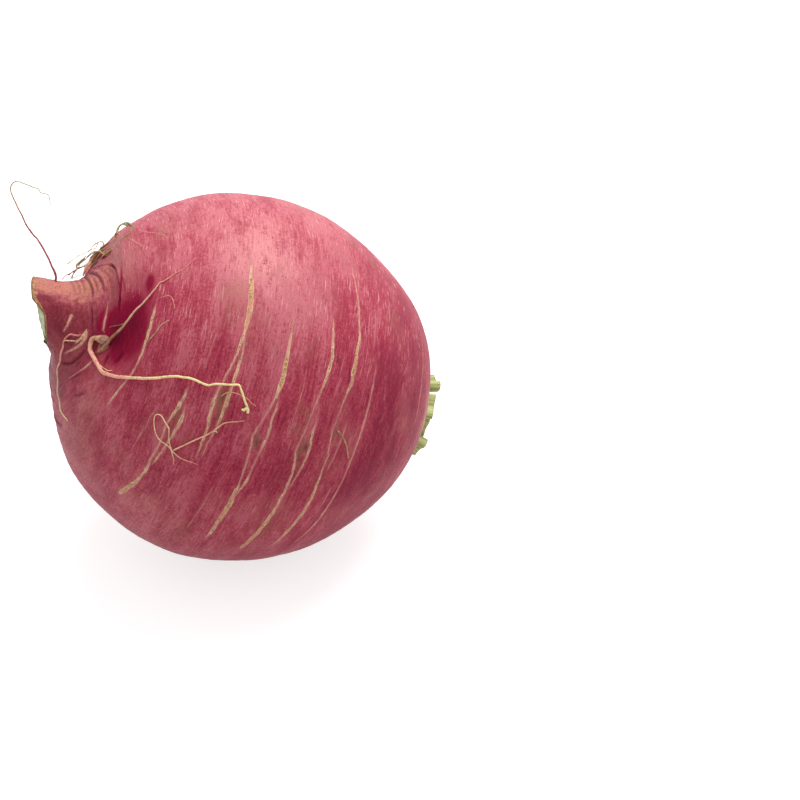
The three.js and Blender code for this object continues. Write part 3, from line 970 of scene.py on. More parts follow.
def cutFinish():
    n = Nodes("dried cut flesh")
    places = n.places()
    gritty = n.noise(places, 1.4 * mm, 3.0, 0.6)
    fibre = n.noise(places, 0.5 * mm, 2.0, 0.6)
    out = n.number("outness")
    colour = n.blend(n.fit(gritty, 0.4, 0.62), cutFace["pith"], cutFace["bright"])
    colour = n.blend(n.fit(fibre, 0.55, 0.7, 0.0, 0.4), colour, cutFace["dark"])
    ragged = n.plus(out, n.swing(gritty, 0.25))
    colour = n.blend(n.times(n.fit(ragged, 0.9, 1.03), n.number("rindShade")), colour, cutFace["rind"])
    colour = n.blend(n.times(n.number("low"), n.fit(gritty, 0.35, 0.55)), colour, cutFace["dark"])
    normal = n.bump(gritty, 0.3)
    normal = n.bump(fibre, 0.12, normal)
    return n.finish(colour, 0.8, normal, 0.3)


def makeCutFace(material, rim):
    # a gritty disc inside the lip, which slopes down to the edge where that is drawn back
    lean = math.radians(ringAt(1.0)[4])
    axis = np.array([0, math.sin(lean), math.cos(lean)]) @ lying[:3, :3].T
    sides = cutFace["sides"]
    wholeTurn = np.linspace(0, 1, sides, endpoint=False)
    source = np.arange(len(rim) + 1) / len(rim)
    closed = np.concatenate([rim, rim[:1]])
    edge = np.stack([np.interp(wholeTurn, source, closed[:, k]) for k in range(3)], -1)
    heights = edge @ axis
    level = np.median(heights)
    middle = edge.mean(0)
    middle = middle + axis * (level - middle @ axis)
    drop = heights - level
    out = np.linspace(0, 1, cutFace["rings"] + 1)[1:][:, None] ** cutFace["crowding"]
    flatEdge = edge - axis * drop[:, None]
    grid = middle + (flatEdge - middle)[None] * (out[..., None] * cutFace["overlap"])
    beyond = np.clip((out - cutFace["flat"]) / (1 - cutFace["flat"]), 0, 1)
    slope = drop[None] * beyond ** cutFace["slope"]
    rough = roughness3(grid / (cutFace["gritSize"] * mm), 11)
    rough = rough + 0.6 * roughness3(grid / (cutFace["fineGritSize"] * mm), 12)
    calm = 1 - smooth(0.9, 1.0, out)
    sunk = -cutFace["sunk"] * (1 - out ** 3) + cutFace["grit"] * rough * calm
    grid = grid + axis * (slope + sunk * mm)[..., None]
    points = np.concatenate([grid.reshape(-1, 3), (middle - axis * cutFace["sunk"] * mm)[None]])
    centre = len(points) - 1
    faces = gridFaces(len(out), sides)
    faces += [(centre, (side + 1) % sides, side) for side in range(sides)]
    azimuth = wholeTurn * 360 - 180
    low = np.broadcast_to(smooth(6, -8, azimuth) * smooth(-60, -30, azimuth), (len(out), sides))
    rind = np.broadcast_to(1 - nicked(azimuth), (len(out), sides))
    attributes = dict(
        outness=np.append(np.repeat(out, sides), 0.0),
        low=np.append(low.reshape(-1), 0.0),
        rindShade=np.append(rind.reshape(-1), 1.0),
    )
    return meshObject("cutFace", points, faces, material, attributes)


cutPiece = makeCutFace(cutFinish(), lipRing)
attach(cutPiece, "root")
print("cut face made")

rootStyle = dict(
    sides=10,
    step=0.3,               # of a tube, mm
    pathSteps=24,           # worked out between two points of a route
    wander=0.1,
    wanderSize=2.4,
    knobs=0.2,              # as a share of the root's radius
    knobSize=0.9,
    smallKnobs=0.12,
    smallKnobSize=0.45,
    tip=0.6,
    thinnest=0.2,
    frays=1,                # thin rootlets beside each one of the tangle
    frayWide=0.2,
    frayOff=0.6,
    fraySize=3,
)

rootPaint = dict(
    salmon=paint(250, 176, 152),
    pink=paint(232, 142, 130),
    rose=paint(182, 84, 96),
    cream=paint(248, 208, 166),
    straw=paint(254, 238, 166),
    tan=paint(210, 160, 120),
    brown=paint(152, 108, 78),
    bark=paint(168, 112, 88),
    umber=paint(140, 80, 68),
    olive=paint(126, 110, 56),
    gold=paint(182, 144, 78),
    green=paint(190, 190, 140),
    faint=paint(232, 232, 208),
    darkFleck=paint(120, 74, 48),
    paleFleck=paint(244, 222, 196),
)

# over the skin: azimuth, along and height; widths in mm and colours by the share of the length
sideRoots = dict(
    thickRoot=[
        dict(route=[(31.0, 44.2, 1.0), (31.5, 44.5, 1.5), (30.5, 44.8, 1.7), (28.5, 44.8, 1.6),
                    (25, 44.7, 1.4), (20.5, 44.3, 1.3), (15.5, 43.0, 1.2), (14.5, 41.8, 1.1),
                    (15.5, 40.8, 1.1), (19.5, 37.8, 1.0), (22.5, 35.2, 1.0), (24.5, 32.7, 1.0),
                    (26, 30.3, 1.0), (28, 27.6, 1.0), (29.5, 24.7, 1.0), (30, 21.5, 1.0),
                    (29.5, 18.2, 0.9), (30.5, 16.5, 0.9), (31.5, 12.9, 0.9), (32, 11.3, 1.0),
                    (30.5, 10.3, 1.1), (28.5, 9.1, 0.9), (26, 7.6, 0.6), (25, 7.4, 0.5)],
             wide=[(0, 1.2), (0.1, 1.1), (0.2, 1.0), (0.3, 0.9), (0.4, 0.76), (0.55, 0.64), (0.7, 0.54),
                   (0.9, 0.5), (0.97, 0.58), (1, 0.78)],
             colour=[(0, "bark"), (0.03, "tan"), (0.06, "salmon"), (0.3, "salmon"), (0.42, "cream"),
                     (0.6, "straw"), (1, "straw")]),
        dict(route=[(26.5, 7.9, 0.6), (25.5, 8.5, 0.5), (25.5, 8.9, 0.3)], wide=[(0, 0.75), (1, 0.6)],
             colour=[(0, "straw"), (1, "straw")]),
        dict(route=[(29.6, 42.4, -0.9), (30.3, 43.1, 0.1), (30.9, 43.8, 0.9), (31.3, 44.4, 1.4)],
             wide=[(0, 2.7), (0.4, 2.6), (0.7, 2.0), (1, 1.3)],
             colour=[(0, "umber"), (0.5, "bark"), (1, "tan")]),
        dict(route=[(28.5, 42.0, -0.4), (26.5, 42.3, -0.1), (23.5, 42.9, 0.0), (19, 43.4, -0.4)],
             wide=[(0, 0.8), (0.4, 1.3), (1, 0.7)], colour=[(0, "umber"), (0.5, "bark"), (1, "umber")]),
        dict(route=[(27.5, 43.1, -0.3), (25, 43.3, 0.05), (22, 43.2, -0.3)],
             wide=[(0, 0.9), (0.5, 1.2), (1, 0.8)], colour=[(0, "umber"), (1, "bark")]),
    ],
    straightRoot=[
        dict(route=[(23.5, 43.1, 0.2), (28, 42.7, 1.0), (33.5, 42.3, 1.6), (40.5, 41.1, 2.2),
                    (47.5, 39.7, 2.4), (51.5, 38.3, 2.2), (54.5, 36.4, 1.6), (59.5, 34.0, 1.0),
                    (62, 33.1, 0.7), (62.5, 32.2, 0.5), (65, 30.3, 0.3), (67.5, 28.2, 0.2),
                    (72, 25.7, 0.05)],
             wide=[(0, 1.0), (0.12, 0.8), (0.3, 0.55), (0.5, 0.42), (0.68, 0.32), (0.8, 0.24),
                   (1, 0.12)],
             colour=[(0, "bark"), (0.2, "brown"), (0.3, "tan"), (0.45, "cream"), (0.8, "pink"),
                     (1, "pink")]),
        dict(route=[(39.5, 43.1, 0.0), (40.3, 42.5, 0.5), (42, 41.5, 0.6), (43.8, 40.6, 0.4)],
             wide=[(0, 0.18), (1, 0.12)], colour=[(0, "brown"), (1, "brown")]),
        dict(route=[(15.0, 42.5, 0.5), (15.6, 42.2, 0.6), (16.6, 41.3, 0.5), (17.2, 40.6, 0.4),
                    (18.7, 39.9, 0.1)],
             wide=[(0, 0.2), (1, 0.14)], colour=[(0, "cream"), (1, "cream")]),
    ],
    hangingRoot=[
        dict(route=[(32.5, 45.8, -0.4), (30, 46.5, 0.6), (28.5, 47.1, 0.9), (27.5, 47.7, 1.0),
                    (24, 48.1, 1.0), (16, 48.5, 1.0), (8, 48.4, 1.0), (-1, 48.4, 1.1),
                    (-9.5, 48.0, 1.2), (-22, 48.0, 1.2), (-27, 46.7, 1.2), (-36, 45.4, 1.2),
                    (-38, 44.0, 1.0), (-39, 43.0, 0.8), (-31.5, 41.9, 0.3)],
             wide=[(0, 0.5), (0.2, 0.42), (0.3, 0.5), (0.4, 0.38), (0.8, 0.36), (1, 0.28)],
             colour=[(0, "rose"), (0.12, "pink"), (0.45, "salmon"), (0.7, "cream"), (1, "straw")]),
        dict(route=[(16, 48.5, 1.0), (20.5, 47.6, 0.9), (23.5, 46.6, 0.1)], wide=[(0, 0.35), (1, 0.25)],
             colour=[(0, "salmon"), (1, "cream")]),
    ],
    looseHairs=[
        dict(route=[(12.5, 23.2, 0.7), (14, 24.4, 0.8), (15.5, 25.6, 0.9), (15.5, 26.5, 0.9),
                    (14.5, 27.0, 0.9), (12, 26.7, 0.9), (9, 25.5, 0.8), (7.5, 24.0, 0.7),
                    (7, 22.1, 0.6), (6, 21.0, 0.5)],
             wide=[(0, 0.37), (0.3, 0.26), (1, 0.28)], colour=[(0, "cream"), (1, "cream")]),
        dict(route=[(12.5, 23.2, 0.1), (12.5, 23.2, 0.7), (9.5, 22.5, 0.6), (7.5, 21.7, 0.6),
                    (6, 20.9, 0.5)],
             wide=[(0, 0.41), (1, 0.34)], colour=[(0, "tan"), (1, "cream")]),
        dict(route=[(6, 20.8, 0.5), (9, 19.1, 0.6), (12, 17.3, 0.7), (14.5, 15.5, 0.8),
                    (16.5, 14.1, 0.8), (18.5, 13.0, 0.7), (20, 12.1, 0.6), (21, 10.7, 0.5),
                    (21.5, 9.6, 0.4), (22.5, 7.5, 0.15)],
             wide=[(0, 0.34), (0.55, 0.3), (0.65, 0.37), (0.8, 0.25), (1, 0.12)],
             colour=[(0, "cream"), (1, "tan")]),
        dict(route=[(6, 20.9, 0.5), (5, 18.6, 0.5), (5, 16.5, 0.4), (5, 14.2, 0.05)],
             wide=[(0, 0.29), (1, 0.12)],
             colour=[(0, "cream"), (1, "pink")]),
        dict(route=[(6, 21.0, 0.4), (4, 20.0, 0.4), (1.5, 19.2, 0.1)], wide=[(0, 0.3), (1, 0.16)],
             colour=[(0, "cream"), (1, "pink")]),
        dict(route=[(16.5, 14.1, 0.8), (17.3, 13.4, 1.0), (17.0, 12.8, 0.9)],
             wide=[(0, 0.25), (1, 0.16)],
             colour=[(0, "cream"), (1, "cream")]),
        dict(route=[(27.5, 14.3, 0.0), (29, 13.5, 0.7), (29.5, 12.3, 0.9), (29.5, 10.9, 0.9),
                    (29, 8.6, 0.8), (28, 7.2, 0.6), (27.5, 6.0, 0.2)],
             wide=[(0, 0.25), (1, 0.16)], colour=[(0, "tan"), (1, "tan")]),
        dict(route=[(25.5, -16.2, 0.0), (25.3, -16.8, 0.5), (23.5, -18.6, 0.7), (20.5, -20.4, 0.7),
                    (17, -21.9, 0.3)],
             wide=[(0, 0.41), (1, 0.29)], colour=[(0, "brown"), (1, "tan")]),
        dict(route=[(38, 33.0, 0.0), (39.5, 32.6, 0.3), (42.5, 31.7, 0.35), (45.5, 30.7, 0.35),
                    (48, 29.0, 0.05)],
             wide=[(0, 0.37), (1, 0.25)], colour=[(0, "brown"), (1, "tan")]),
        dict(route=[(55, 33.2, 0.0), (56, 32.1, 0.2), (56.5, 30.5, 0.25), (55.5, 29.7, 0.25),
                    (54, 29.2, 0.2), (52, 28.8, 0.2), (50, 28.5, 0.0)],
             wide=[(0, 0.18), (1, 0.12)], colour=[(0, "tan"), (1, "pink")]),
    ],
)

# the long hair on the tail: to the front, up and along from its base on the skin, in mm
tailHair = dict(
    along=51.0, azimuth=108,
    route=[(-0.6, -1.0, -0.3), (-0.8, 1.3, 0.3), (-1.5, 3.1, 1.8), (-2.1, 4.5, 3.0), (-2.7, 5.8, 4.3),
           (-3.5, 7.5, 6.2), (-4.0, 8.4, 7.4), (-4.3, 8.8, 8.4), (-5.0, 10.2, 10.3), (-5.9, 12.3, 12.3),
           (-6.4, 13.4, 13.4), (-7.8, 16.7, 16.4), (-8.2, 18.1, 17.0), (-8.4, 19.3, 16.7),
           (-8.4, 20.1, 15.9), (-8.0, 20.2, 13.9), (-7.5, 20.2, 12.1), (-7.2, 20.3, 10.6),
           (-6.9, 19.6, 9.7), (-6.5, 19.8, 7.9), (-5.8, 17.9, 6.8)],
    wide=[(0, 0.66), (0.2, 0.52), (0.45, 0.42), (0.65, 0.34), (1, 0.24)],
    colour=[(0, "rose"), (0.45, "rose"), (0.6, "tan"), (0.75, "green"), (0.9, "gold"), (1, "cream")],
)

# dried rootlets caught on the back of the neck: to the front, up and along in the root's own frame
tangle = [
    dict(route=[(-5.3, 13.0, 49.3), (-6.3, 13.6, 49.0), (-7.6, 13.9, 48.5), (-9.4, 13.9, 48.0),
                (-11.6, 13.0, 47.9), (-14.3, 12.2, 47.4), (-17.0, 11.7, 46.4), (-19.3, 11.5, 45.5),
                (-20.8, 11.6, 45.0)],
         wide=[(0, 0.26), (0.35, 0.32), (0.45, 0.5), (0.6, 0.62), (0.85, 0.55), (1, 0.2)],
         colour=[(0, "bark"), (0.3, "umber"), (0.4, "umber"), (0.5, "olive"), (0.8, "olive"),
                 (1, "green")]),
    dict(route=[(-11.7, 12.4, 47.5), (-14.2, 11.6, 46.9), (-16.9, 10.8, 46.4), (-19.1, 10.4, 45.6),
                (-20.7, 10.6, 44.9)],
         wide=[(0, 0.3), (1, 0.22)], colour=[(0, "tan"), (1, "tan")]),
    dict(route=[(-4.5, 12.7, 51.3), (-5.7, 13.3, 50.7), (-7.2, 13.2, 49.8), (-9.4, 12.6, 48.8),
                (-12.4, 11.9, 47.4), (-15.5, 11.3, 45.7), (-18.0, 10.6, 44.6), (-19.8, 10.7, 43.8),
                (-21.3, 11.5, 43.3)],
         wide=[(0, 0.24), (0.6, 0.28), (0.8, 0.45), (1, 0.35)],
         colour=[(0, "rose"), (0.3, "bark"), (0.6, "rose"), (0.75, "umber"), (1, "bark")]),
    dict(route=[(-7.5, 13.5, 52.5), (-11.0, 13.5, 50.4), (-15.6, 13.3, 48.2), (-19.1, 13.3, 45.9),
                (-21.0, 13.9, 44.4), (-21.7, 14.8, 44.0), (-21.9, 16.4, 42.4), (-21.4, 16.2, 41.7),
                (-20.8, 15.5, 41.7)],
         wide=[(0, 0.2), (0.8, 0.22), (1, 0.36)],
         colour=[(0, "faint"), (0.7, "faint"), (0.85, "cream"), (1, "gold")]),
    dict(route=[(-22.0, 12.0, 44.6), (-22.1, 13.2, 43.9), (-21.8, 14.0, 43.2), (-21.9, 15.4, 43.0)],
         wide=[(0, 0.24), (1, 0.2)], colour=[(0, "faint"), (1, "cream")]),
    dict(route=[(-21.3, 10.5, 44.4), (-21.5, 11.4, 44.0), (-21.5, 12.4, 43.4), (-20.4, 14.3, 42.3),
                (-19.5, 15.8, 42.1), (-18.1, 17.4, 42.0), (-15.4, 21.4, 41.1)],
         wide=[(0, 0.2), (0.35, 0.4), (0.5, 0.9), (0.62, 0.5), (1, 0.35)],
         colour=[(0, "umber"), (0.3, "olive"), (0.5, "olive"), (0.7, "gold"), (1, "tan")]),
    dict(route=[(-11.4, 11.3, 45.6), (-14.1, 11.3, 45.2), (-16.9, 11.1, 44.7), (-19.0, 11.2, 43.8),
                (-20.7, 11.6, 43.5), (-21.9, 13.2, 42.0)],
         wide=[(0, 0.3), (0.5, 0.65), (0.8, 0.6), (1, 0.4)],
         colour=[(0, "bark"), (0.5, "tan"), (0.8, "umber"), (1, "gold")]),
    dict(route=[(-9.5, 12.1, 45.4), (-12.6, 11.5, 44.7), (-15.8, 11.0, 43.9), (-18.5, 10.9, 43.2),
                (-20.3, 11.1, 42.7), (-22.0, 12.5, 41.9)],
         wide=[(0, 0.4), (0.3, 0.8), (0.7, 0.9), (1, 0.6)],
         colour=[(0, "rose"), (0.4, "rose"), (0.7, "bark"), (1, "umber")]),
    dict(route=[(-11.3, 11.2, 45.5), (-13.8, 10.9, 45.0), (-16.6, 10.8, 44.3), (-18.9, 10.9, 43.5),
                (-21.5, 11.7, 42.6)],
         wide=[(0, 0.3), (0.5, 0.6), (1, 0.4)], colour=[(0, "umber"), (0.5, "tan"), (1, "bark")]),
    dict(route=[(-14.3, 10.9, 44.7), (-16.7, 11.0, 44.3), (-18.5, 11.3, 43.6), (-19.5, 12.1, 43.2),
                (-19.4, 13.6, 42.8), (-18.4, 15.4, 42.4), (-16.9, 17.4, 41.9), (-15.6, 19.7, 41.4)],
         wide=[(0, 0.4), (0.4, 0.8), (0.7, 0.5), (1, 0.4)],
         colour=[(0, "bark"), (0.4, "tan"), (0.7, "gold"), (1, "tan")]),
    dict(route=[(-19.0, 9.1, 43.0), (-18.1, 12.2, 42.8), (-17.0, 14.2, 42.7), (-15.4, 16.5, 42.5),
                (-13.4, 18.9, 41.9), (-10.5, 23.1, 41.2)],
         wide=[(0, 0.3), (0.5, 0.45), (1, 0.35)], colour=[(0, "bark"), (0.5, "gold"), (1, "tan")]),
    dict(route=[(-6.1, 12.9, 48.7), (-6.6, 13.2, 48.1), (-7.3, 13.4, 47.4), (-7.7, 13.6, 46.4)],
         wide=[(0, 0.2), (1, 0.22)], colour=[(0, "green"), (1, "green")]),
    dict(route=[(-19.9, 12.0, 43.8), (-17.8, 15.6, 43.0), (-12.5, 18.6, 41.9), (-8.7, 23.1, 41.4),
                (-6.8, 26.8, 40.6), (-6.7, 28.8, 39.6), (-8.4, 29.7, 38.5), (-11.8, 29.1, 38.0),
                (-15.6, 27.4, 38.4), (-18.2, 25.8, 39.0), (-18.7, 24.5, 39.8), (-17.4, 23.9, 40.3),
                (-14.7, 24.5, 40.8), (-10.8, 26.1, 40.5), (-7.3, 26.9, 40.5)],
         wide=[(0, 0.3), (0.15, 0.5), (0.3, 0.55), (0.42, 0.8), (0.52, 0.5), (0.7, 0.4), (1, 0.28)],
         colour=[(0, "tan"), (0.15, "gold"), (0.35, "tan"), (0.45, "olive"), (0.6, "olive"),
                 (1, "gold")]),
    dict(route=[(-9.7, 20.3, 42.2), (-9.5, 22.0, 41.8), (-9.9, 23.2, 41.1), (-12.2, 23.8, 41.3),
                (-14.9, 23.7, 40.9), (-17.0, 23.5, 40.2), (-18.6, 24.1, 40.0), (-18.5, 25.0, 39.5),
                (-16.7, 26.4, 38.5), (-14.2, 27.7, 38.0)],
         wide=[(0, 0.3), (0.5, 0.4), (1, 0.26)],
         colour=[(0, "gold"), (0.5, "olive"), (0.8, "green"), (1, "olive")]),
    dict(route=[(-19.0, 9.8, 43.0), (-16.6, 13.0, 42.7), (-13.4, 16.4, 42.3), (-10.4, 19.6, 42.4),
                (-7.8, 23.7, 41.4), (-6.3, 27.4, 40.3)],
         wide=[(0, 0.3), (0.4, 0.5), (0.6, 0.6), (1, 0.4)],
         colour=[(0, "tan"), (0.4, "bark"), (0.6, "gold"), (1, "tan")]),
]


def smoothPath(points, step):
    # a smooth curve through the points, with a point every step
    points = np.asarray(points, float)
    last = len(points) - 1
    padded = np.concatenate([[2 * points[0] - points[1]], points, [2 * points[-1] - points[-2]]])
    place = np.linspace(0, last, last * rootStyle["pathSteps"] + 1)
    start = np.minimum(place.astype(int), last - 1)
    w = (place - start)[:, None]
    a, b, c, d = (padded[start + k] for k in range(4))
    squared = (2 * a - 5 * b + 4 * c - d) * w ** 2
    cubed = (3 * b - a - 3 * c + d) * w ** 3
    path = 0.5 * (2 * b + (c - a) * w + squared + cubed)
    length = np.concatenate([[0], np.cumsum(np.linalg.norm(np.diff(path, axis=0), axis=1))])
    count = max(int(length[-1] / step), 6)
    even = np.linspace(0, length[-1], count + 1)
    return np.stack([np.interp(even, length, path[:, k]) for k in range(3)], -1)


def strand(one, points, seed):
    # one closed, tapered, slightly uneven root with rounded ends, and the colour of its points
    path = smoothPath(points, rootStyle["step"])
    share = np.linspace(0, 1, len(path))
    sway = np.stack([roughness3(path / rootStyle["wanderSize"], seed + k) for k in range(3)], -1)
    calm = smooth(0, 0.06, share) * smooth(0, 0.06, 1 - share)
    path = path + rootStyle["wander"] * sway * calm[:, None]
    radii = 0.5 * np.maximum(np.interp(share, *np.array(one["wide"]).T), rootStyle["thinnest"])
    stops = [stop for stop, _ in one["colour"]]
    colours = np.array([rootPaint[name] for _, name in one["colour"]])
    tint = np.stack([np.interp(share, stops, colours[:, k]) for k in range(3)], -1)

    forward = np.gradient(path, axis=0)
    forward /= np.linalg.norm(forward, axis=1, keepdims=True)
    side = np.cross(forward[0], [0.3, 0.5, 0.8])
    sides = rootStyle["sides"]
    turn = np.arange(sides) * 2 * math.pi / sides
    rings = []
    for place, ahead, radius in zip(path, forward, radii):
        side = side - ahead * side.dot(ahead)
        side /= np.linalg.norm(side)
        other = np.cross(ahead, side)
        rings.append(place + radius * (np.cos(turn)[:, None] * side + np.sin(turn)[:, None] * other))
    rings = np.array(rings)
    knobs = 1 + rootStyle["knobs"] * roughness3(rings / rootStyle["knobSize"], seed + 3)
    knobs = knobs + rootStyle["smallKnobs"] * roughness3(rings / rootStyle["smallKnobSize"], seed + 4)
    rings = path[:, None] + (rings - path[:, None]) * knobs[..., None]
    tip = rootStyle["tip"]
    ends = [path[0] - forward[0] * radii[0] * tip, path[-1] + forward[-1] * radii[-1] * tip]
    meshPoints = np.concatenate([rings.reshape(-1, 3), ends])
    first = len(meshPoints) - 2
    start = (len(path) - 1) * sides
    faces = gridFaces(len(path), sides)
    faces += [(first, (k + 1) % sides, k) for k in range(sides)]
    faces += [(first + 1, start + k, start + (k + 1) % sides) for k in range(sides)]
    return meshPoints, faces, np.concatenate([np.repeat(tint, sides, 0), [tint[0], tint[-1]]])


def joined(parts):
    # several sets of points, faces and values a point as one
    faces = []
    count = 0
    for points, partFaces, *_ in parts:
        faces += [tuple(index + count for index in face) for face in partFaces]
        count += len(points)
    values = [np.concatenate([part[k] for part in parts]) for k in range(2, len(parts[0]))]
    return np.concatenate([part[0] for part in parts]), faces, *values


def rootFinish():
    n = Nodes("side root")
    places = n.places()
    mottle = n.noise(places, 0.9 * mm, 3.0, 0.65)
    tint = n.vector("tint")
    colour = n.blend(n.fit(mottle, 0.52, 0.3, 0.0, 0.45), tint, rootPaint["darkFleck"])
    colour = n.blend(n.fit(mottle, 0.5, 0.7, 0.0, 0.3), colour, rootPaint["paleFleck"])
    normal = n.bump(n.noise(places, 0.5 * mm, 2.0, 0.6), 0.08)
    return n.finish(colour, 0.52, normal, 0.4)


def makeSideRoots():
    material = rootFinish()
    seed = 20
    bundles = {}
    for name, strands in sideRoots.items():
        bundles[name] = []
        for one in strands:
            route = np.array(one["route"], float)
            bundles[name].append((one, skinPoint(runAt(route[:, 1]), route[:, 0], route[:, 2])))
    base = skinPoint(runAt(tailHair["along"]), np.array(float(tailHair["azimuth"])))
    bundles["tailHair"] = [(tailHair, base + np.array(tailHair["route"], float))]
    bundles["rootTangle"] = [(one, one["route"]) for one in tangle]
    longer = [one for one in tangle if len(one["route"]) > 4]
    for index, one in enumerate(longer * rootStyle["frays"]):
        # the same way, off to the side and ending sooner
        start = index % 2
        route = np.array(one["route"][start:len(one["route"]) - (index // 2) % 2], float)
        shifts = np.stack([route / rootStyle["fraySize"] + k * 9 for k in range(3)], 1)
        route += rootStyle["frayOff"] * roughness3(shifts, 60 + index)
        wide = rootStyle["frayWide"]
        thin = dict(wide=[(0, wide), (1, 0.7 * wide)], colour=one["colour"])
        bundles["rootTangle"].append((thin, route))
    for name, strands in bundles.items():
        parts = []
        for one, points in strands:
            parts.append(strand(one, points, seed))
            seed += 5
        points, faces, tints = joined(parts)
        piece = meshObject(name, toFrame(points), faces, material, dict(tint=tints))
        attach(piece, "root")


makeSideRoots()
print("side roots made")

stalks = dict(
    count=9,
    spread=9.5,             # of the outermost from the middle, mm
    turn=137.5,             # degrees from each to the next
    lean=16.0,
    wide=(1.8, 2.4),        # half the width in the middle, and what is added to it outwards, mm
    thick=(1.4, 1.0),
    height=3.6,
    buried=4.0,
    flare=0.14,
    groove=0.75,
    grooveWide=0.62,        # radians
    # the cut top: its rings' share of the outline and their depth
    cutRings=[(0.93, -0.02), (0.8, -0.15), (0.55, -0.4), (0.28, -0.5)],
    sides=36,
    levels=12,
    grainAcross=1.6,
    grainAlong=0.06,
    green=paint(150, 158, 78),
    pale=paint(206, 206, 150),
    pink=paint(190, 110, 110),
    dry=paint(158, 134, 84),
)


def stalkFinish():
    n = Nodes("leaf stalk")
    fibre = n.noise(n.vector("grain"), 1.0, 3.0, 0.6)
    gritty = n.noise(n.places(), 1.1 * mm, 3.0, 0.6)
    cut = n.number("cut")
    colour = n.blend(n.fit(fibre, 0.35, 0.65), stalks["green"], stalks["pale"])
    colour = n.blend(n.fit(n.number("height"), 0.35, 0.0, 0.0, 0.7), colour, stalks["pink"])
    dried = n.blend(n.fit(gritty, 0.4, 0.6), stalks["pale"], stalks["dry"])
    colour = n.blend(n.times(cut, 0.8), colour, dried)
    normal = n.bump(fibre, 0.25)
    normal = n.bump(n.times(gritty, cut), 0.3, normal)
    return n.finish(colour, 0.55, normal, 0.4)


def stalkMesh(index):
    # a stump with a groove on its inner side, cut across near the skin
    outness = math.sqrt((index + 0.5) / stalks["count"])
    wide = stalks["wide"][0] + stalks["wide"][1] * outness
    thick = stalks["thick"][0] + stalks["thick"][1] * outness
    sides = stalks["sides"]
    levels = stalks["levels"]
    buried = stalks["buried"]
    turn = np.arange(sides) * 2 * math.pi / sides
    fromGroove = np.abs(turn - math.pi * 1.5) / stalks["grooveWide"]
    groove = stalks["groove"] * thick * np.exp(-fromGroove ** 2)
    outline = np.stack([wide * np.cos(turn), thick * np.sin(turn) + groove], -1)
    draw = random.Random(40 + index)
    slant = (draw.uniform(-0.12, 0.12), draw.uniform(-0.12, 0.12))
    top = stalks["height"] * draw.uniform(0.75, 1.1)
    rings = []
    for level in np.linspace(-buried, top, levels):
        flare = 1 + stalks["flare"] * max(0.0, 1 - (level + buried) / buried)
        rings.append((outline * flare, level, 0.0))
    for inset, drop in stalks["cutRings"]:
        rings.append((outline * inset, top + drop, 1.0))
    points = []
    heights = []
    cuts = []
    grain = []
    for k, (shape, level, cut) in enumerate(rings):
        tilt = shape[:, 0] * slant[0] + shape[:, 1] * slant[1]
        level = level + tilt * (level > top - 1)
        points.append(np.column_stack([shape, np.broadcast_to(level, sides)]))
        heights += [max(0.0, min(k, levels - 1) / (levels - 1) * 2 - 1)] * sides
        cuts += [cut] * sides
        fibreAlong = np.full(sides, k * stalks["grainAlong"])
        grain.append(np.column_stack([shape * stalks["grainAcross"], fibreAlong]))
    points = np.concatenate(points + [[[0, 0, top + stalks["cutRings"][-1][1]]]])
    grain = np.concatenate(grain + [[[0, 0, 1.0]]]) + index * 7
    start = (len(rings) - 1) * sides
    faces = gridFaces(len(rings), sides)
    faces += [(len(points) - 1, start + k, start + (k + 1) % sides) for k in range(sides)]
    faces.append(tuple(range(sides - 1, -1, -1)))
    # stand it on the crown, which faces down the axis
    lean = math.radians(stalks["lean"] * outness)
    crownHeight = rootShape["globeCentre"] - rootShape["crownReach"] + rootShape["dimpleDepth"]
    stand = Matrix.Translation((0, rootShape["crownRise"], 0))
    stand = stand @ Matrix.Rotation(math.radians(index * stalks["turn"]), 4, "Z")
    stand = stand @ Matrix.Translation((0, stalks["spread"] * outness, crownHeight))
    stand = np.array(stand @ Matrix.Rotation(math.pi + lean, 4, "X"))
    points = points @ stand[:3, :3].T + stand[:3, 3]
    return points, faces, np.array(heights + [1.0]), np.array(cuts + [1.0]), grain


def makeStalks():
    points, faces, heights, cuts, grain = joined([stalkMesh(index) for index in range(stalks["count"])])
    attributes = dict(height=heights, cut=cuts, grain=grain)
    piece = meshObject("leafStalks", toFrame(points), faces, stalkFinish(), attributes)
    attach(piece, "root")


makeStalks()
print("leaf stalks made")

studio = dict(
    floorSize=3.0,          # from the middle to a side, m
    floorTone=(0.66, 0.66, 0.66),
    floorLift=0.7,          # added for the camera only, so that the open floor looks white
    floorUnder=0.02,        # under the radish, mm
    lampPlace=(0.17, 0.285, 0.7),       # m
    lampSize=0.6,
    lampPower=5.1,          # W
    worldStrength=0.62,
)


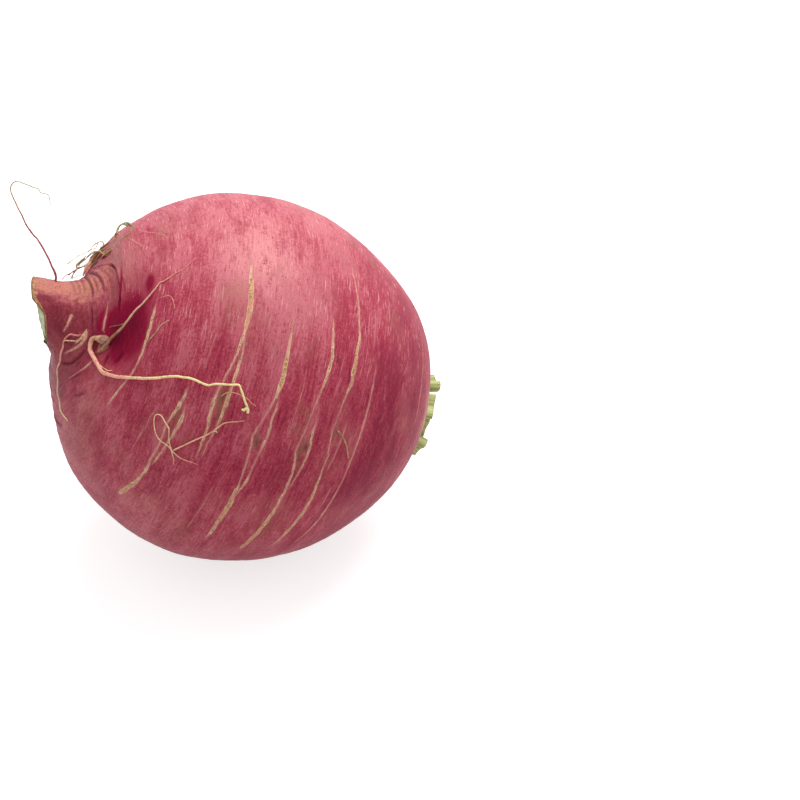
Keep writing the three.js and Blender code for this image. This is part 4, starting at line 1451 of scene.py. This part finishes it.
def makeFloor():
    n = Nodes("white floor")
    n.shader.inputs["Base Color"].default_value = (*studio["floorTone"], 1)
    n.shader.inputs["Roughness"].default_value = 0.9
    n.shader.inputs["Specular IOR Level"].default_value = 0.1
    n.shader.inputs["Emission Color"].default_value = (1, 1, 1, 1)
    n.plug(n.times(seenPlainly(n), studio["floorLift"]), n.shader.inputs["Emission Strength"])
    half = studio["floorSize"]
    under = -studio["floorUnder"] * mm
    corners = np.array([(-half, -half, under), (half, -half, under), (half, half, under),
                        (-half, half, under)])
    meshObject("floor", corners, [(0, 1, 2, 3)], n.material, smoothFaces=False)


def seenPlainly(n):
    # 1 where the camera looks at it, straight or in a gloss
    paths = n.add("LightPath")
    seen = n.maths("MAXIMUM", paths.outputs["Is Camera Ray"], paths.outputs["Is Glossy Ray"])
    return n.maths("MAXIMUM", seen, paths.outputs["Is Transmission Ray"])


def makeWorld():
    world = bpy.data.worlds.new("studio")
    bpy.context.scene.world = world
    world.use_nodes = True
    tree = world.node_tree
    paths = tree.nodes.new("ShaderNodeLightPath")
    seen = paths.outputs["Is Camera Ray"]
    for other in ("Is Glossy Ray", "Is Transmission Ray"):
        either = tree.nodes.new("ShaderNodeMath")
        either.operation = "MAXIMUM"
        tree.links.new(seen, either.inputs[0])
        tree.links.new(paths.outputs[other], either.inputs[1])
        seen = either.outputs[0]
    strength = tree.nodes.new("ShaderNodeMapRange")
    tree.links.new(seen, strength.inputs["Value"])
    strength.inputs["To Min"].default_value = studio["worldStrength"]
    strength.inputs["To Max"].default_value = 1.0
    background = tree.nodes["Background"]
    background.inputs["Color"].default_value = (1, 1, 1, 1)
    tree.links.new(strength.outputs[0], background.inputs["Strength"])


def makeLamp():
    data = bpy.data.lights.new("softbox", "AREA")
    data.shape = "SQUARE"
    data.size = studio["lampSize"]
    data.energy = studio["lampPower"]
    lamp = bpy.data.objects.new("softbox", data)
    lamp.location = studio["lampPlace"]
    target = Vector((0, 0, rootLies["middleHeight"] * mm))
    lamp.rotation_euler = (target - Vector(studio["lampPlace"])).to_track_quat("-Z", "Y").to_euler()
    bpy.context.scene.collection.objects.link(lamp)


makeFloor()
makeWorld()
makeLamp()
bpy.context.scene.view_settings.view_transform = "Standard"
print("floor and light made")
